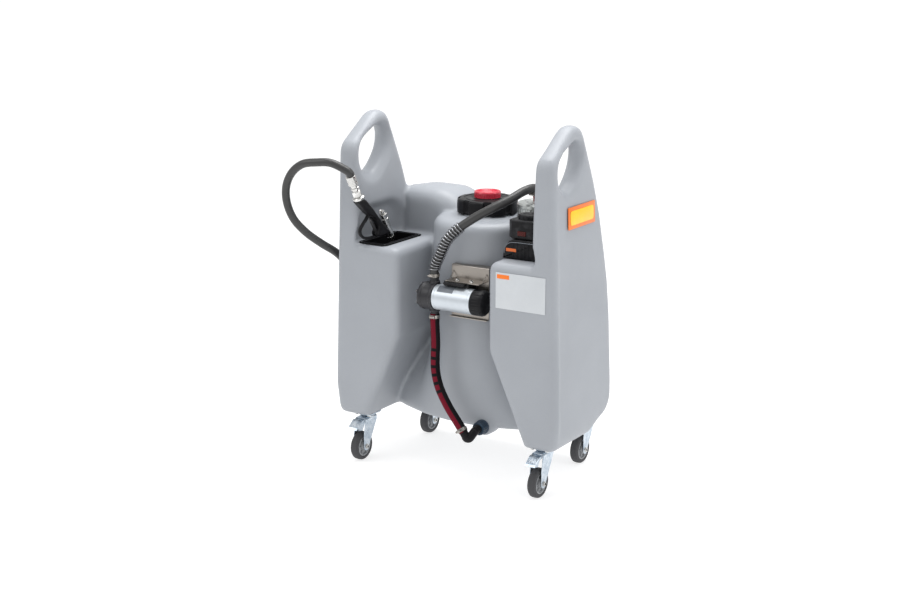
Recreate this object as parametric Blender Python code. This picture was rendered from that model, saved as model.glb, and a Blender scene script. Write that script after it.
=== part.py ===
"""Oil transfer trolley: a moulded tank with two handle towers on four swivel casters, with a pump, a flow
head and a hand nozzle on a free hose. Metres, +Z up, front towards -Y, origin on the floor."""

import math

import bmesh
import bpy
import numpy as np
from mathutils import Matrix, Vector

# Clearances
GAP = 0.0003  # between pieces that touch
RUN = 0.0006  # between pieces that turn or slide
FACET = 0.0006  # what the flat sides of two round meshes need on top

# Tank
WIDTH = 0.714  # over the towers, at the underside
FRONT_Y = -0.178
UNDERSIDE_Z = 0.134
WALL = 0.006
FLUSH = 0.0004  # set-back of a box behind the tower face that it runs into
DRAFT = 0.0365  # each tower face leans in by this share of its height
TOWER_DEPTH = 0.0945  # from the outer face at the underside in to the inner face at the ledge
TOWER_INNER_X = WIDTH / 2 - TOWER_DEPTH
TOWER_EDGE = 0.020
HOLE_FLARE_IN = 0.016
HOLE_FLARE_OUT = 0.008
TOWER_TOP_Z = 0.971
TOWER_DISH = 0.025  # how far the dish in a tower's inner face goes in
TOWER_DISH_X = TOWER_INNER_X + TOWER_DISH
TOWER_SHOULDER_DROP = 0.101  # from the tower's top down to the upper end of its front edge
TOWER_ROOM_DROP = 0.196  # from the tower's top down to the roof of its hollow
TUCK_Z = 0.222  # below this height the outer faces draw in
TUCK = 0.165
LEDGE_Z = 0.622
BOX_INNER_X = 0.140  # half the width of the recess that the pump stands in
BOX_OUTER_X = TOWER_INNER_X + 0.0515  # inside the tower that it runs into
BOX_SLANT_Z = 0.384
BOX_FOOT_X = TOWER_INNER_X - 0.0125
BOX_EDGE = 0.020
LEDGE_EDGE = 0.023
BOX_BACK_Y = 0.075
DRUM_CENTRE_Y = 0.058
DRUM_RADIUS = 0.147
DRUM_TOP_Z = 0.6925
DRUM_EDGE = 0.028
DRUM_HALF_WIDTH = TOWER_INNER_X + 0.0225  # inside the towers
DRUM_WALL_Y = 0.052  # front wall beside the round bulge
DRUM_FOOT_BULGE_Y = -0.093  # front wall at the foot, in the middle plane
DRUM_REAR_Y = 0.2382
DRUM_REAR_CORNER = 0.060
BULGE_END_Z = 0.40
FLARE_END_Z = 0.17
DRUM_LEVELS = (0.19, 0.24, 0.29, 0.34, BULGE_END_Z, 0.52)
DRUM_INNER_LEVELS = (0.24, 0.32, BULGE_END_Z)
SHOULDER_RISE = 0.0555
SHOULDER_FRONT_Y = 0.043
SHOULDER_REAR_Y = 0.200
SHOULDER_DIP_X = 0.060
SHOULDER_HUMP_X = BOX_INNER_X + 0.045
SHOULDER_EDGE = 0.042
SHOULDER_NARROWS = 0.22

# Filler
NECK_RADIUS = 0.068
NECK_BORE = 0.060
NECK_HEIGHT = 0.030
PAD_RADIUS = 0.092
PAD_HEIGHT = 0.006
GASKET_THICKNESS = 0.003
CAP_RADIUS = 0.0835
CAP_LOBES = 8
CAP_LOBE_DEPTH = 0.0045
CAP_HEIGHT = 0.039
CAP_ROOF = 0.008
CAP_FREE = 0.003  # between the cap and the shoulders
VENT_RADIUS = 0.0365
VENT_HEIGHT = 0.018
VENT_STEM = 0.012

# Nozzle holder
HOLDER_X = (0.0065 - TOWER_DISH_X, -BOX_INNER_X - 0.0465)
HOLDER_Y = (-0.162, 0.0215)
HOLDER_FLANGE = 0.003
HOLDER_CORNER = 0.011
HOLDER_RIM = 0.012
HOLDER_DEPTH = 0.046
HOLDER_WALL = 0.0025
POCKET_SKIN = 0.005

# Outlet
OUTLET_X = 0.077
OUTLET_Z = 0.141
OUTLET_NUT_RADIUS = 0.0205
OUTLET_NUT_LENGTH = 0.024
OUTLET_STEM_RADIUS = 0.013
OUTLET_BORE = 0.008
OUTLET_BOSS_RADIUS = 0.027
ELBOW_RADIUS = 0.0125
ELBOW_NECK = 0.013  # straight length in front of the nut
ELBOW_CORNER = Vector((0.0670, -0.1500, 0.1170))
SUCTION_FOOT = Vector((0.0525, -0.1490, 0.1370))  # where the elbow's second leg meets the suction hose

# Hoses
SUCTION_DIAMETER = 0.025
RISER_DIAMETER = 0.0235
DELIVERY_DIAMETER = 0.022
CLAMP_WIDTH = 0.009
CLAMP_THICKNESS = 0.0012
CLAMP_SETBACK = 0.003  # from the hose's end
CLAMP_ROOM = 1.01  # a clamp's bore over the hose's diameter, because both have flat sides
GUARD_WIRE = 0.003
GUARD_TURNS = 17
GUARD_LENGTH = 0.150
GUARD_CLEARANCE = 0.0015

# Pump
PUMP_Y = -0.142
PUMP_Z = 0.500
HEAD_X = (-0.084, -0.034)
HEAD_RADIUS = 0.0375
CAN_RADIUS = 0.0345
CAN_WALL = 0.002
CAN_LENGTH = 0.117
END_CAP_LENGTH = 0.035
ARMATURE_RADIUS = 0.026
SHAFT_RADIUS = 0.005
ROTOR_RADIUS = 0.022
ROTOR_LENGTH = 0.028
PORT_X = -0.046
PORT_Y = -0.137
PORT_RADIUS = 0.0115
PORT_HEIGHT = 0.011
PORT_COLLAR = 0.004
FOOT_BLOCK_Z = 0.0475
BRACKET_X = (-0.012, 0.104)
BRACKET_SHEET = 0.002
BRACKET_TOP_Z = 0.5855
BRACKET_FOOT_Z = 0.444
BRACKET_FLANGE_Y = PUMP_Y + CAN_RADIUS + 0.0014  # front of the upright sheet, just behind the can

# Flow head
METER_X = BOX_INNER_X + 0.020
METER_Y = 0.050
METER_FLOOR_Z = DRUM_TOP_Z + 0.0075
METER_RADIUS = 0.0545
METER_HEIGHT = 0.047
METER_RIBS = 16
METER_POCKET = 0.060
STUB_LEAN = Vector((0.0, -0.45, 0.89)).normalized()
STUB_RADIUS = 0.0095
STUB_HEIGHT = 0.018
TAIL_RADIUS = 0.0095
TAIL_LENGTH = 0.034
TAIL_Z = METER_FLOOR_Z + 0.024

# Nozzle, in its own frame: along the grip up to the hose, and across it to the guard
NOZZLE_X = sum(HOLDER_X) / 2 - 0.00225
GRIP_WIDTH = 0.026
GRIP_TOP = (-0.2095, 0.7500)  # Y and Z of the middle of the grip's upper end
LEVER_WIDTH = 0.009
LEVER_PLACE = (-0.1330, 0.6480)  # Y and Z of the lever's pin
GUARD_THICKNESS = 0.008
VALVE_TOP = (-0.1030, 0.6990)
VALVE_FOOT = (-0.0690, 0.6320)
VALVE_RADIUS = 0.0110
SPOUT_TIP_Y = -0.0535
SPOUT_RADIUS = 0.0080
SWIVEL_RADIUS = 0.0125
SWIVEL_LENGTH = 0.046
SWIVEL_LEAN = Vector((-0.106, -0.397, 0.911)).normalized()
FERRULE_RADIUS = 0.0135
FERRULE_LENGTH = 0.026
LEVER_PIN_RADIUS = 0.002

# Battery on the right ledge
DOCK_X = (BOX_INNER_X + 0.010, TOWER_INNER_X - 0.0065)
DOCK_Y = (-0.118, -0.022)
DOCK_HEIGHT = 0.052
PACK_X = (DOCK_X[0] + 0.009, DOCK_X[1] - 0.007)
PACK_Y = (-0.111, -0.029)
PACK_HEIGHT = 0.050
BOSS_RADIUS = (PACK_X[1] - PACK_X[0]) / 2 - 0.015
BOSS_HEIGHT = 0.012

# Plates
LABEL_X = (BOX_INNER_X + 0.027, BOX_OUTER_X - 0.001)
LABEL_Z = (0.504, 0.599)
SIGN_Y = (-0.106, 0.040)
SIGN_Z = (TOWER_TOP_Z - 0.2585, TOWER_TOP_Z - 0.2015)
SIGN_THICKNESS = 0.0015
SIGN_INLAY_EDGE = 0.010

# Casters
CASTER_FRONT = (WIDTH / 2 - 0.074, -0.121)
CASTER_REAR = (WIDTH / 2 - 0.108, 0.180)
CASTER_PLATE = 0.060
CASTER_PLATE_THICKNESS = 0.003
CASTER_PAD_EDGE = 0.004  # how far a rear pad reaches past its plate
CASTER_PAD_HEIGHT = 0.030
RACE_RADIUS = 0.021
RACE_HEIGHT = 0.008
TRAIL = 0.030
WHEEL_RADIUS = 0.040
TYRE_WIDTH = 0.025
TYRE_DEPTH = 0.011
HUB_WIDTH = 0.028
AXLE_RADIUS = 0.004
FORK_SHEET = 0.0025
FORK_GAP = 0.0315
BRAKE_REACH = 0.040
BOLT_SPREAD = 0.044

# Bolt heads
BOLT_RADIUS = 0.0055
BOLT_HEIGHT = 0.0045
BOLT_SINK = 0.0005  # how far a head goes into the sheet that it is joined to

FLAT_LIMIT = 1e-4  # radians that a face may bend
ROUND = 32  # sides of a large round piece
SMALL_ROUND = 16
TINY_ROUND = 12
WHEEL_SIDES = 20


def vec(*values):
    """A point as a Vector."""
    return Vector(values)


def finish(name, colour, roughness, metallic=0.0):
    """A Principled material with one colour."""
    material = bpy.data.materials.new(name)
    material.use_nodes = True
    shader = material.node_tree.nodes["Principled BSDF"]
    shader.inputs["Base Color"].default_value = (*colour, 1.0)
    shader.inputs["Roughness"].default_value = roughness
    shader.inputs["Metallic"].default_value = metallic
    material.diffuse_color = (*colour, 1.0)
    return material


def mesh_of(points, faces, name="shape"):
    """A mesh whose faces are flat and point outwards."""
    mesh = bpy.data.meshes.new(name)
    mesh.from_pydata([tuple(p) for p in points], [], faces)
    work = bmesh.new()
    work.from_mesh(mesh)
    bmesh.ops.connect_verts_nonplanar(work, angle_limit=FLAT_LIMIT, faces=work.faces)
    bmesh.ops.recalc_face_normals(work, faces=work.faces)
    if work.calc_volume(signed=True) < 0:
        bmesh.ops.reverse_faces(work, faces=work.faces)
    work.to_mesh(mesh)
    work.free()
    return mesh


def flattened(mesh):
    """The mesh with each bent face split into flat ones."""
    work = bmesh.new()
    work.from_mesh(mesh)
    bmesh.ops.connect_verts_nonplanar(work, angle_limit=FLAT_LIMIT, faces=work.faces)
    work.to_mesh(mesh)
    work.free()
    return mesh


def loft(rings):
    """A closed solid through rings of the same number of points, with a flat cap at each end."""
    count = len(rings[0])
    points = [point for ring in rings for point in ring]
    faces = [list(range(count))[::-1], [len(points) - count + k for k in range(count)]]
    for level in range(len(rings) - 1):
        low = level * count
        for k in range(count):
            after = (k + 1) % count
            faces.append([low + k, low + after, low + count + after, low + count + k])
    return mesh_of(points, faces)


def inset(outline, distance):
    """The outline moved inwards by a distance, each corner along its mitre."""
    pts = np.array(outline, float)
    before = pts - np.roll(pts, 1, axis=0)
    after = np.roll(pts, -1, axis=0) - pts
    area = np.sum(pts[:, 0] * np.roll(pts[:, 1], -1) - pts[:, 1] * np.roll(pts[:, 0], -1))
    side = 1.0 if area > 0 else -1.0

    def inward(edge):
        length = np.maximum(np.linalg.norm(edge, axis=1, keepdims=True), 1e-9)
        return side * np.stack([-edge[:, 1], edge[:, 0]], axis=1) / length

    first = inward(before)
    second = inward(after)
    middle = first + second
    scale = np.maximum(np.sum(middle * first, axis=1, keepdims=True), 0.35)
    return (pts + middle / scale * distance).tolist()


def lay(outline, plane, height):
    """The points of a flat outline, laid in a plane at a height along that plane's normal."""
    turn = {
        "YZ": lambda u, v: vec(height, u, v),
        "XZ": lambda u, v: vec(u, height, v),
        "XY": lambda u, v: vec(u, v, height),
    }[plane]
    return [turn(u, v) for u, v in outline]


def slab(outline, plane, low, high, edge=0.0, steps=3):
    """An outline carried from low to high along its normal, its two rims rounded to a radius."""
    if edge <= 0.0:
        return loft([lay(outline, plane, low), lay(outline, plane, high)])
    angles = [math.pi / 2 * k / steps for k in range(steps + 1)]
    rim = [(edge * (1 - math.sin(a)), edge * (1 - math.cos(a))) for a in angles]
    rings = [lay(inset(outline, pull), plane, low + drop) for pull, drop in rim]
    rings += [lay(inset(outline, pull), plane, high - drop) for pull, drop in reversed(rim)]
    return loft(rings)


def turned(profile, frame=None, sides=ROUND, closed=False):
    """A profile of radius and height, turned round the frame's Z axis. Radius 0 is a point on the axis."""
    frame = frame or Matrix.Identity(4)
    points = []
    rows = []
    for radius, height in profile:
        if radius < 1e-6:
            rows.append([len(points)] * sides)
            points.append(frame @ vec(0, 0, height))
            continue
        rows.append(list(range(len(points), len(points) + sides)))
        for k in range(sides):
            angle = 2 * math.pi * k / sides
            points.append(frame @ vec(radius * math.cos(angle), radius * math.sin(angle), height))
    pairs = list(zip(rows, rows[1:]))
    if closed:
        pairs.append((rows[-1], rows[0]))
    faces = []
    for low, high in pairs:
        for k in range(sides):
            after = (k + 1) % sides
            corners = [low[k], low[after], high[after], high[k]]
            corners = [c for n, c in enumerate(corners) if c != corners[n - 1]]
            if len(corners) > 2:
                faces.append(corners)
    return mesh_of(points, faces)


def rod(radius, start, end, sides=SMALL_ROUND):
    """A plain round bar between two points."""
    start, end = Vector(start), Vector(end)
    length = (end - start).length
    profile = [(0, 0), (radius, 0), (radius, length), (0, length)]
    return turned(profile, aim(start, end - start), sides)


def ring(inner, outer, low, high, frame=None, sides=ROUND):
    """A plain ring between two radii and two heights."""
    profile = [(outer, high), (outer, low), (inner, low), (inner, high)]
    return turned(profile, frame, sides, closed=True)


def aim(place, direction, side=(1, 0, 0)):
    """A frame at a place whose Z axis points in a direction."""
    z = Vector(direction).normalized()
    x = Vector(side) - z * z.dot(Vector(side))
    if x.length < 0.2:
        x = Vector((0, 1, 0)) - z * z.y
    x.normalize()
    y = z.cross(x)
    frame = Matrix((x, y, z)).transposed().to_4x4()
    frame.translation = Vector(place)
    return frame


def block(x, y, z, edge=0.0, steps=2):
    """A box between two corners given per axis, its four upright edges and its rims rounded."""
    outline = rounded_rectangle(x, y, edge, 2 if edge else 0)
    return slab(outline, "XY", z[0], z[1], edge, steps)


def rounded_rectangle(u, v, radius, steps):
    """The outline of a rectangle with round corners, counter-clockwise."""
    if radius <= 0 or steps < 1:
        return [(u[0], v[0]), (u[1], v[0]), (u[1], v[1]), (u[0], v[1])]
    centres = [(u[1] - radius, v[0] + radius, -90), (u[1] - radius, v[1] - radius, 0)]
    centres += [(u[0] + radius, v[1] - radius, 90), (u[0] + radius, v[0] + radius, 180)]
    outline = []
    for cu, cv, first in centres:
        for k in range(steps + 1):
            angle = math.radians(first + 90 * k / steps)
            outline.append((cu + radius * math.cos(angle), cv + radius * math.sin(angle)))
    return outline


def solid(pieces, cuts=()):
    """One mesh: the pieces joined by Boolean unions, less the cuts."""
    tools = [bpy.data.objects.new("tool", mesh) for mesh in (*pieces, *cuts)]
    for tool in tools:
        bpy.context.scene.collection.objects.link(tool)
    base = tools[0]
    for count, tool in enumerate(tools[1:], start=1):
        step = base.modifiers.new("step", "BOOLEAN")
        step.operation = "UNION" if count < len(pieces) else "DIFFERENCE"
        step.solver = "EXACT"
        step.object = tool
    graph = bpy.context.evaluated_depsgraph_get()
    mesh = bpy.data.meshes.new_from_object(base.evaluated_get(graph))
    for tool in tools:
        bpy.data.objects.remove(tool)
    return mesh


def moved(mesh, frame):
    """A copy of a mesh, moved by a frame."""
    copy = mesh.copy()
    copy.transform(frame)
    return copy


def piece(name, mesh, material, origin=(0, 0, 0), local=False):
    """A named object with its origin at a point. The mesh is in world places unless it is local."""
    mesh.name = name
    if not local:
        mesh.transform(Matrix.Translation(-Vector(origin)))
    obj = bpy.data.objects.new(name, mesh)
    bpy.context.scene.collection.objects.link(obj)
    obj.location = origin
    mesh.materials.clear()
    mesh.materials.append(material)
    mesh.shade_smooth()
    mesh.set_sharp_from_angle(angle=math.radians(32))
    return obj


def smooth_route(points, step):
    """Points at an even step along a Catmull-Rom curve through the route's own points."""
    pts = np.array([tuple(p) for p in points], float)
    padded = np.vstack([2 * pts[0] - pts[1], pts, 2 * pts[-1] - pts[-2]])
    fine = []
    for k in range(len(pts) - 1):
        p0, p1, p2, p3 = padded[k : k + 4]
        t = np.linspace(0, 1, 24, endpoint=False)[:, None]
        fine.append(
            0.5
            * (
                2 * p1
                + (p2 - p0) * t
                + (2 * p0 - 5 * p1 + 4 * p2 - p3) * t**2
                + (3 * p1 - p0 - 3 * p2 + p3) * t**3
            )
        )
    fine = np.vstack(fine + [pts[-1:]])
    along = np.concatenate([[0], np.cumsum(np.linalg.norm(np.diff(fine, axis=0), axis=1))])
    count = max(2, round(along[-1] / step) + 1)
    wanted = np.linspace(0, along[-1], count)
    return np.stack([np.interp(wanted, along, fine[:, k]) for k in range(3)], axis=1)


def tube_route(route, step):
    """A smooth route whose first and last stretches run straight."""
    start, second = Vector(route[0]), Vector(route[1])
    before, end = Vector(route[-2]), Vector(route[-1])
    free = step / 2
    inner = []
    for point in smooth_route(route, step):
        past_start = (Vector(point) - start).length > (second - start).length + free
        past_end = (Vector(point) - end).length > (before - end).length + free
        if past_start and past_end:
            inner.append(Vector(point))
    return [start, second, *inner, before, end]


def tube(name, points, diameter, material, resolution=2):
    """A curve with a round section and filled caps, as an object."""
    curve = bpy.data.curves.new(name, "CURVE")
    curve.dimensions = "3D"
    curve.bevel_depth = diameter / 2
    curve.bevel_resolution = resolution
    curve.use_fill_caps = True
    spline = curve.splines.new("POLY")
    spline.points.add(len(points) - 1)
    for target, point in zip(spline.points, points):
        target.co = (*point, 1.0)
    obj = bpy.data.objects.new(name, curve)
    bpy.context.scene.collection.objects.link(obj)
    curve.materials.append(material)
    return obj


def drum_front(x, z):
    """Y of the drum's front wall: a round bulge above, a flat curve from leg to leg at the foot."""
    side = max(DRUM_RADIUS**2 - x * x, 0.0)
    bulge = min(DRUM_CENTRE_Y - math.sqrt(side), DRUM_WALL_Y)
    foot = DRUM_FOOT_BULGE_Y + 1.15 * x * x
    t = min(max((BULGE_END_Z - z) / (BULGE_END_Z - FLARE_END_Z), 0.0), 1.0)
    t = t * t * (3 - 2 * t)
    return (1 - t) * bulge + t * min(foot, DRUM_WALL_Y)


def drum_ring(z, shrink):
    """The drum's outline at a height, moved inwards by a distance."""
    half = DRUM_HALF_WIDTH
    round_x = [DRUM_RADIUS * 0.996 * math.sin(math.radians(a)) for a in range(-90, 91, 15)]
    across = [-half, -half * 0.75, *round_x, half * 0.75, half]
    outline = [(x, drum_front(x, z)) for x in across]
    corner = DRUM_REAR_CORNER
    rear_side = DRUM_REAR_Y - 0.35 * (half - corner) ** 2
    for k in range(5):
        angle = math.radians(90 * k / 4)
        outline.append(
            (half - corner + corner * math.cos(angle), rear_side - corner + corner * math.sin(angle))
        )
    for x in (0.15, 0.075, 0.0, -0.075, -0.15):
        outline.append((x, DRUM_REAR_Y - 0.35 * x * x))
    for k in range(5):
        angle = math.radians(90 + 90 * k / 4)
        outline.append(
            (-half + corner + corner * math.cos(angle), rear_side - corner + corner * math.sin(angle))
        )
    return [vec(u, v, z) for u, v in inset(outline, shrink)]


def drum(shrink=0.0):
    """The drum as a loft of its outlines, its top and bottom rims rounded."""
    low = UNDERSIDE_Z + shrink
    high = DRUM_TOP_Z - shrink
    edge = DRUM_EDGE
    foot = 0.7 * edge
    rings = [
        drum_ring(low + foot * (1 - math.cos(a)), shrink + foot * (1 - math.sin(a)))
        for a in (0, math.pi / 6, math.pi / 3, math.pi / 2)
    ]
    levels = DRUM_INNER_LEVELS if shrink > 0 else DRUM_LEVELS
    rings += [drum_ring(z, shrink) for z in levels]
    rings += [
        drum_ring(high - edge * (1 - math.cos(a)), shrink + edge * (1 - math.sin(a)))
        for a in (math.pi / 2, math.pi / 3, math.pi / 6, 0)
    ]
    return loft(rings)


TOWER_OUTLINE = [
    (FRONT_Y + 0.018, UNDERSIDE_Z),
    (FRONT_Y + 0.005, UNDERSIDE_Z + 0.005),
    (FRONT_Y, UNDERSIDE_Z + 0.018),
    (FRONT_Y, TUCK_Z),
    (FRONT_Y, TOWER_TOP_Z - TOWER_SHOULDER_DROP),
    (FRONT_Y + 0.003, TOWER_TOP_Z - TOWER_SHOULDER_DROP + 0.014),
    (FRONT_Y + 0.011, TOWER_TOP_Z - TOWER_SHOULDER_DROP + 0.028),
    (-0.078, TOWER_TOP_Z - 0.011),
    (-0.060, TOWER_TOP_Z - 0.002),
    (-0.036, TOWER_TOP_Z),
    (-0.016, TOWER_TOP_Z - 0.008),
    (-0.002, TOWER_TOP_Z - 0.026),
    (0.054, TOWER_TOP_Z - 0.157),
    (0.082, TOWER_TOP_Z - 0.241),
    (0.105, LEDGE_Z + 0.013),
    (0.125, LEDGE_Z - 0.087),
    (0.133, 0.430),
    (0.136, 0.260),
    (0.1345, TUCK_Z),
    (0.132, 0.198),
    (0.114, 0.172),
    (0.070, 0.154),
    (0.030, UNDERSIDE_Z),
]
HOLE_OUTLINE = [
    (-0.141, TOWER_TOP_Z - 0.121),
    (-0.141, TOWER_TOP_Z - 0.099),
    (-0.133, TOWER_TOP_Z - 0.081),
    (-0.113, TOWER_TOP_Z - 0.066),
    (-0.062, TOWER_TOP_Z - 0.0425),
    (-0.044, TOWER_TOP_Z - 0.04),
    (-0.027, TOWER_TOP_Z - 0.047),
    (-0.016, TOWER_TOP_Z - 0.063),
    (-0.015, TOWER_TOP_Z - 0.083),
    (-0.022, TOWER_TOP_Z - 0.105),
    (-0.037, TOWER_TOP_Z - 0.126),
    (-0.056, TOWER_TOP_Z - 0.145),
    (-0.080, TOWER_TOP_Z - 0.1615),
    (-0.100, TOWER_TOP_Z - 0.165),
    (-0.120, TOWER_TOP_Z - 0.158),
    (-0.135, TOWER_TOP_Z - 0.141),
]
DISH_OUTLINE = [
    (-0.152, LEDGE_Z - FLUSH),
    (-0.152, LEDGE_Z + 0.058),
    (-0.140, LEDGE_Z + 0.083),
    (-0.010, LEDGE_Z + 0.083),
    (0.020, LEDGE_Z + 0.068),
    (0.033, LEDGE_Z + 0.043),
    (0.033, LEDGE_Z - FLUSH),
]


def tower_outer(z):
    """Distance from the middle plane to a tower's outer face at a height."""
    return WIDTH / 2 - DRAFT * (z - UNDERSIDE_Z) - TUCK * max(TUCK_Z - z, 0.0)


def tower_inner(z):
    """Distance from the middle plane to a tower's inner face at a height."""
    return TOWER_INNER_X + DRAFT * (z - LEDGE_Z)


def tower(side):
    """One handle tower: a slab with round rims and leaning faces, a flared hand hole and a dish inside."""
    inner = tower_inner(TOWER_TOP_Z)
    outer = tower_outer(TOWER_TOP_Z)
    middle = (inner + outer) / 2
    body = slab(TOWER_OUTLINE, "YZ", inner, outer, TOWER_EDGE)
    for vertex in body.vertices:
        if vertex.co.x > middle:
            vertex.co.x += tower_outer(vertex.co.z) - outer
        else:
            vertex.co.x += tower_inner(vertex.co.z) - inner
    half = (outer - inner) / 2
    rings = []
    for share in (-1.3, -1.0, -0.7, -0.35, 0.0, 0.5, 0.8, 1.05, 1.3):
        spread = (HOLE_FLARE_IN if share < 0 else HOLE_FLARE_OUT) * abs(share) ** 2.5
        rings.append(lay(inset(HOLE_OUTLINE, -spread), "YZ", middle + half * share))
    dish = loft(
        [
            lay(inset(DISH_OUTLINE, -0.034), "YZ", TOWER_INNER_X - 0.004),
            lay(inset(DISH_OUTLINE, -0.012), "YZ", TOWER_INNER_X + 0.012),
            lay(DISH_OUTLINE, "YZ", TOWER_DISH_X),
        ]
    )
    for vertex in dish.vertices:
        vertex.co.z = max(vertex.co.z, LEDGE_Z - FLUSH)
    mesh = solid([flattened(body)], [loft(rings), flattened(dish)])
    if side < 0:
        mesh = mirrored(mesh)
    return mesh


def mirrored(mesh):
    """A copy of a mesh mirrored in the middle plane, its faces still pointing outwards."""
    copy = mesh.copy()
    copy.transform(Matrix.Diagonal((-1, 1, 1, 1)))
    copy.flip_normals()
    return copy


def front_box(shrink=0.0):
    """One front box under its ledge, with the slanted inner foot, on the right side."""
    inner = BOX_INNER_X + shrink
    outer = BOX_OUTER_X - shrink
    top = LEDGE_Z - shrink
    foot = UNDERSIDE_Z + FLUSH + shrink
    lip = LEDGE_EDGE - shrink
    outline = [
        (inner + lip, top),
        (inner + lip * 0.5, top - lip * 0.134),
        (inner + lip * 0.134, top - lip * 0.5),
        (inner, top - lip),
        (inner, BOX_SLANT_Z),
        (BOX_FOOT_X + shrink, foot),
        (outer, foot),
        (outer, top),
    ]
    steps = 2 if shrink else 3
    return slab(outline, "XZ", FRONT_Y + FLUSH + shrink, BOX_BACK_Y, BOX_EDGE - shrink, steps)


def shoulders():
    """The saddle behind the ledges, narrower to the rear: a hump by each tower, a dip for the filler."""
    half = DRUM_HALF_WIDTH - 0.001
    foot = DRUM_TOP_Z - 0.13
    right = []
    for k in range(7):
        t = k / 6
        x = SHOULDER_DIP_X + (SHOULDER_HUMP_X - SHOULDER_DIP_X) * t
        right.append((x, DRUM_TOP_Z - 0.004 + (SHOULDER_RISE + 0.004) * math.sin(math.pi / 2 * t)))
    right.append((half, DRUM_TOP_Z + SHOULDER_RISE + 0.001))
    outline = [(half, foot), *reversed(right), *[(-x, z) for x, z in right], (-half, foot)]
    mesh = slab(outline, "XZ", SHOULDER_FRONT_Y, SHOULDER_REAR_Y, SHOULDER_EDGE)
    for vertex in mesh.vertices:
        share = (vertex.co.y - SHOULDER_FRONT_Y) / (SHOULDER_REAR_Y - SHOULDER_FRONT_Y)
        vertex.co.x *= 1 - SHOULDER_NARROWS * share
    return flattened(mesh)


def cavity():
    """The hollow inside the tank, open at the neck."""
    box = front_box(WALL)
    roof = TOWER_TOP_Z - TOWER_ROOM_DROP
    floor = LEDGE_Z - 0.042
    tower_room = slab(
        [
            (FRONT_Y + 0.010, floor),
            (FRONT_Y + 0.010, roof),
            (0.030, roof),
            (0.062, roof - 0.075),
            (0.092, floor),
        ],
        "YZ",
        TOWER_DISH_X + WALL,
        tower_outer(roof) - WALL,
    )
    pocket = block(
        (HOLDER_X[0] - 0.004, HOLDER_X[1] + 0.004),
        (HOLDER_Y[0] - 0.004, HOLDER_Y[1] + 0.004),
        (LEDGE_Z - HOLDER_DEPTH - POCKET_SKIN - HOLDER_WALL, LEDGE_Z + 0.01),
    )
    left = solid([mirrored(box)], [pocket])
    bore_z = (DRUM_TOP_Z - 0.0925, DRUM_TOP_Z + NECK_HEIGHT + 0.0375)
    bore = rod(NECK_BORE, (0, DRUM_CENTRE_Y, bore_z[0]), (0, DRUM_CENTRE_Y, bore_z[1]), ROUND)
    return solid([drum(WALL), box, left, tower_room, mirrored(tower_room), bore])


def tank_shell(material):
    """The moulded tank: drum, shoulders, boxes, towers and neck in one hollow shell."""
    seat = DRUM_TOP_Z + PAD_HEIGHT
    neck = [
        (0, DRUM_TOP_Z - 0.02),
        (PAD_RADIUS, DRUM_TOP_Z - 0.02),
        (PAD_RADIUS, seat),
        (NECK_RADIUS, seat),
        (NECK_RADIUS, DRUM_TOP_Z + NECK_HEIGHT),
        (0, DRUM_TOP_Z + NECK_HEIGHT),
    ]
    upright = Matrix.Translation((0, DRUM_CENTRE_Y, 0))
    wall_y = drum_front(OUTLET_X, OUTLET_Z)
    boss = rod(
        OUTLET_BOSS_RADIUS, (OUTLET_X, wall_y + 0.05, OUTLET_Z), (OUTLET_X, outlet_face(), OUTLET_Z), 24
    )
    cap_room = rod(CAP_RADIUS + CAP_FREE, (0, DRUM_CENTRE_Y, seat), (0, DRUM_CENTRE_Y, seat + 0.08), ROUND)
    parts = [
        drum(),
        solid([shoulders()], [cap_room]),
        tower(1),
        tower(-1),
        front_box(),
        mirrored(front_box()),
        turned(neck, upright),
        boss,
    ]
    pad = CASTER_PLATE / 2 + CASTER_PAD_EDGE
    pad_y = (CASTER_REAR[1] - pad, CASTER_REAR[1] + pad)
    pad_z = (UNDERSIDE_Z + FLUSH, UNDERSIDE_Z + CASTER_PAD_HEIGHT)
    parts += [block((x - pad, x + pad), pad_y, pad_z, 0.006) for x in (-CASTER_REAR[0], CASTER_REAR[0])]
    holder_hole = block(
        (HOLDER_X[0] + HOLDER_RIM - GAP, HOLDER_X[1] - HOLDER_RIM + GAP),
        (HOLDER_Y[0] + HOLDER_RIM - GAP, HOLDER_Y[1] - HOLDER_RIM + GAP),
        (LEDGE_Z - HOLDER_DEPTH - HOLDER_WALL - GAP, LEDGE_Z + 0.02),
    )
    outlet_hole = rod(
        OUTLET_STEM_RADIUS + GAP,
        (OUTLET_X, outlet_face() - 0.03, OUTLET_Z),
        (OUTLET_X, wall_y + 0.06, OUTLET_Z),
        SMALL_ROUND,
    )
    meter_pocket = rod(
        METER_POCKET, (METER_X, METER_Y, METER_FLOOR_Z), (METER_X, METER_Y, METER_FLOOR_Z + 0.10), ROUND
    )
    tail_slot = block(
        (METER_X - 0.022, METER_X + 0.022),
        (METER_Y, DRUM_REAR_Y + 0.05),
        (METER_FLOOR_Z, METER_FLOOR_Z + 0.10),
    )
    cuts = [cavity(), holder_hole, outlet_hole, meter_pocket, tail_slot]
    return piece("tank_shell", solid(parts, cuts), material)


def outlet_face():
    """Y of the flat face that the outlet nut sits against."""
    return drum_front(OUTLET_X, OUTLET_Z) - 0.004


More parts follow.
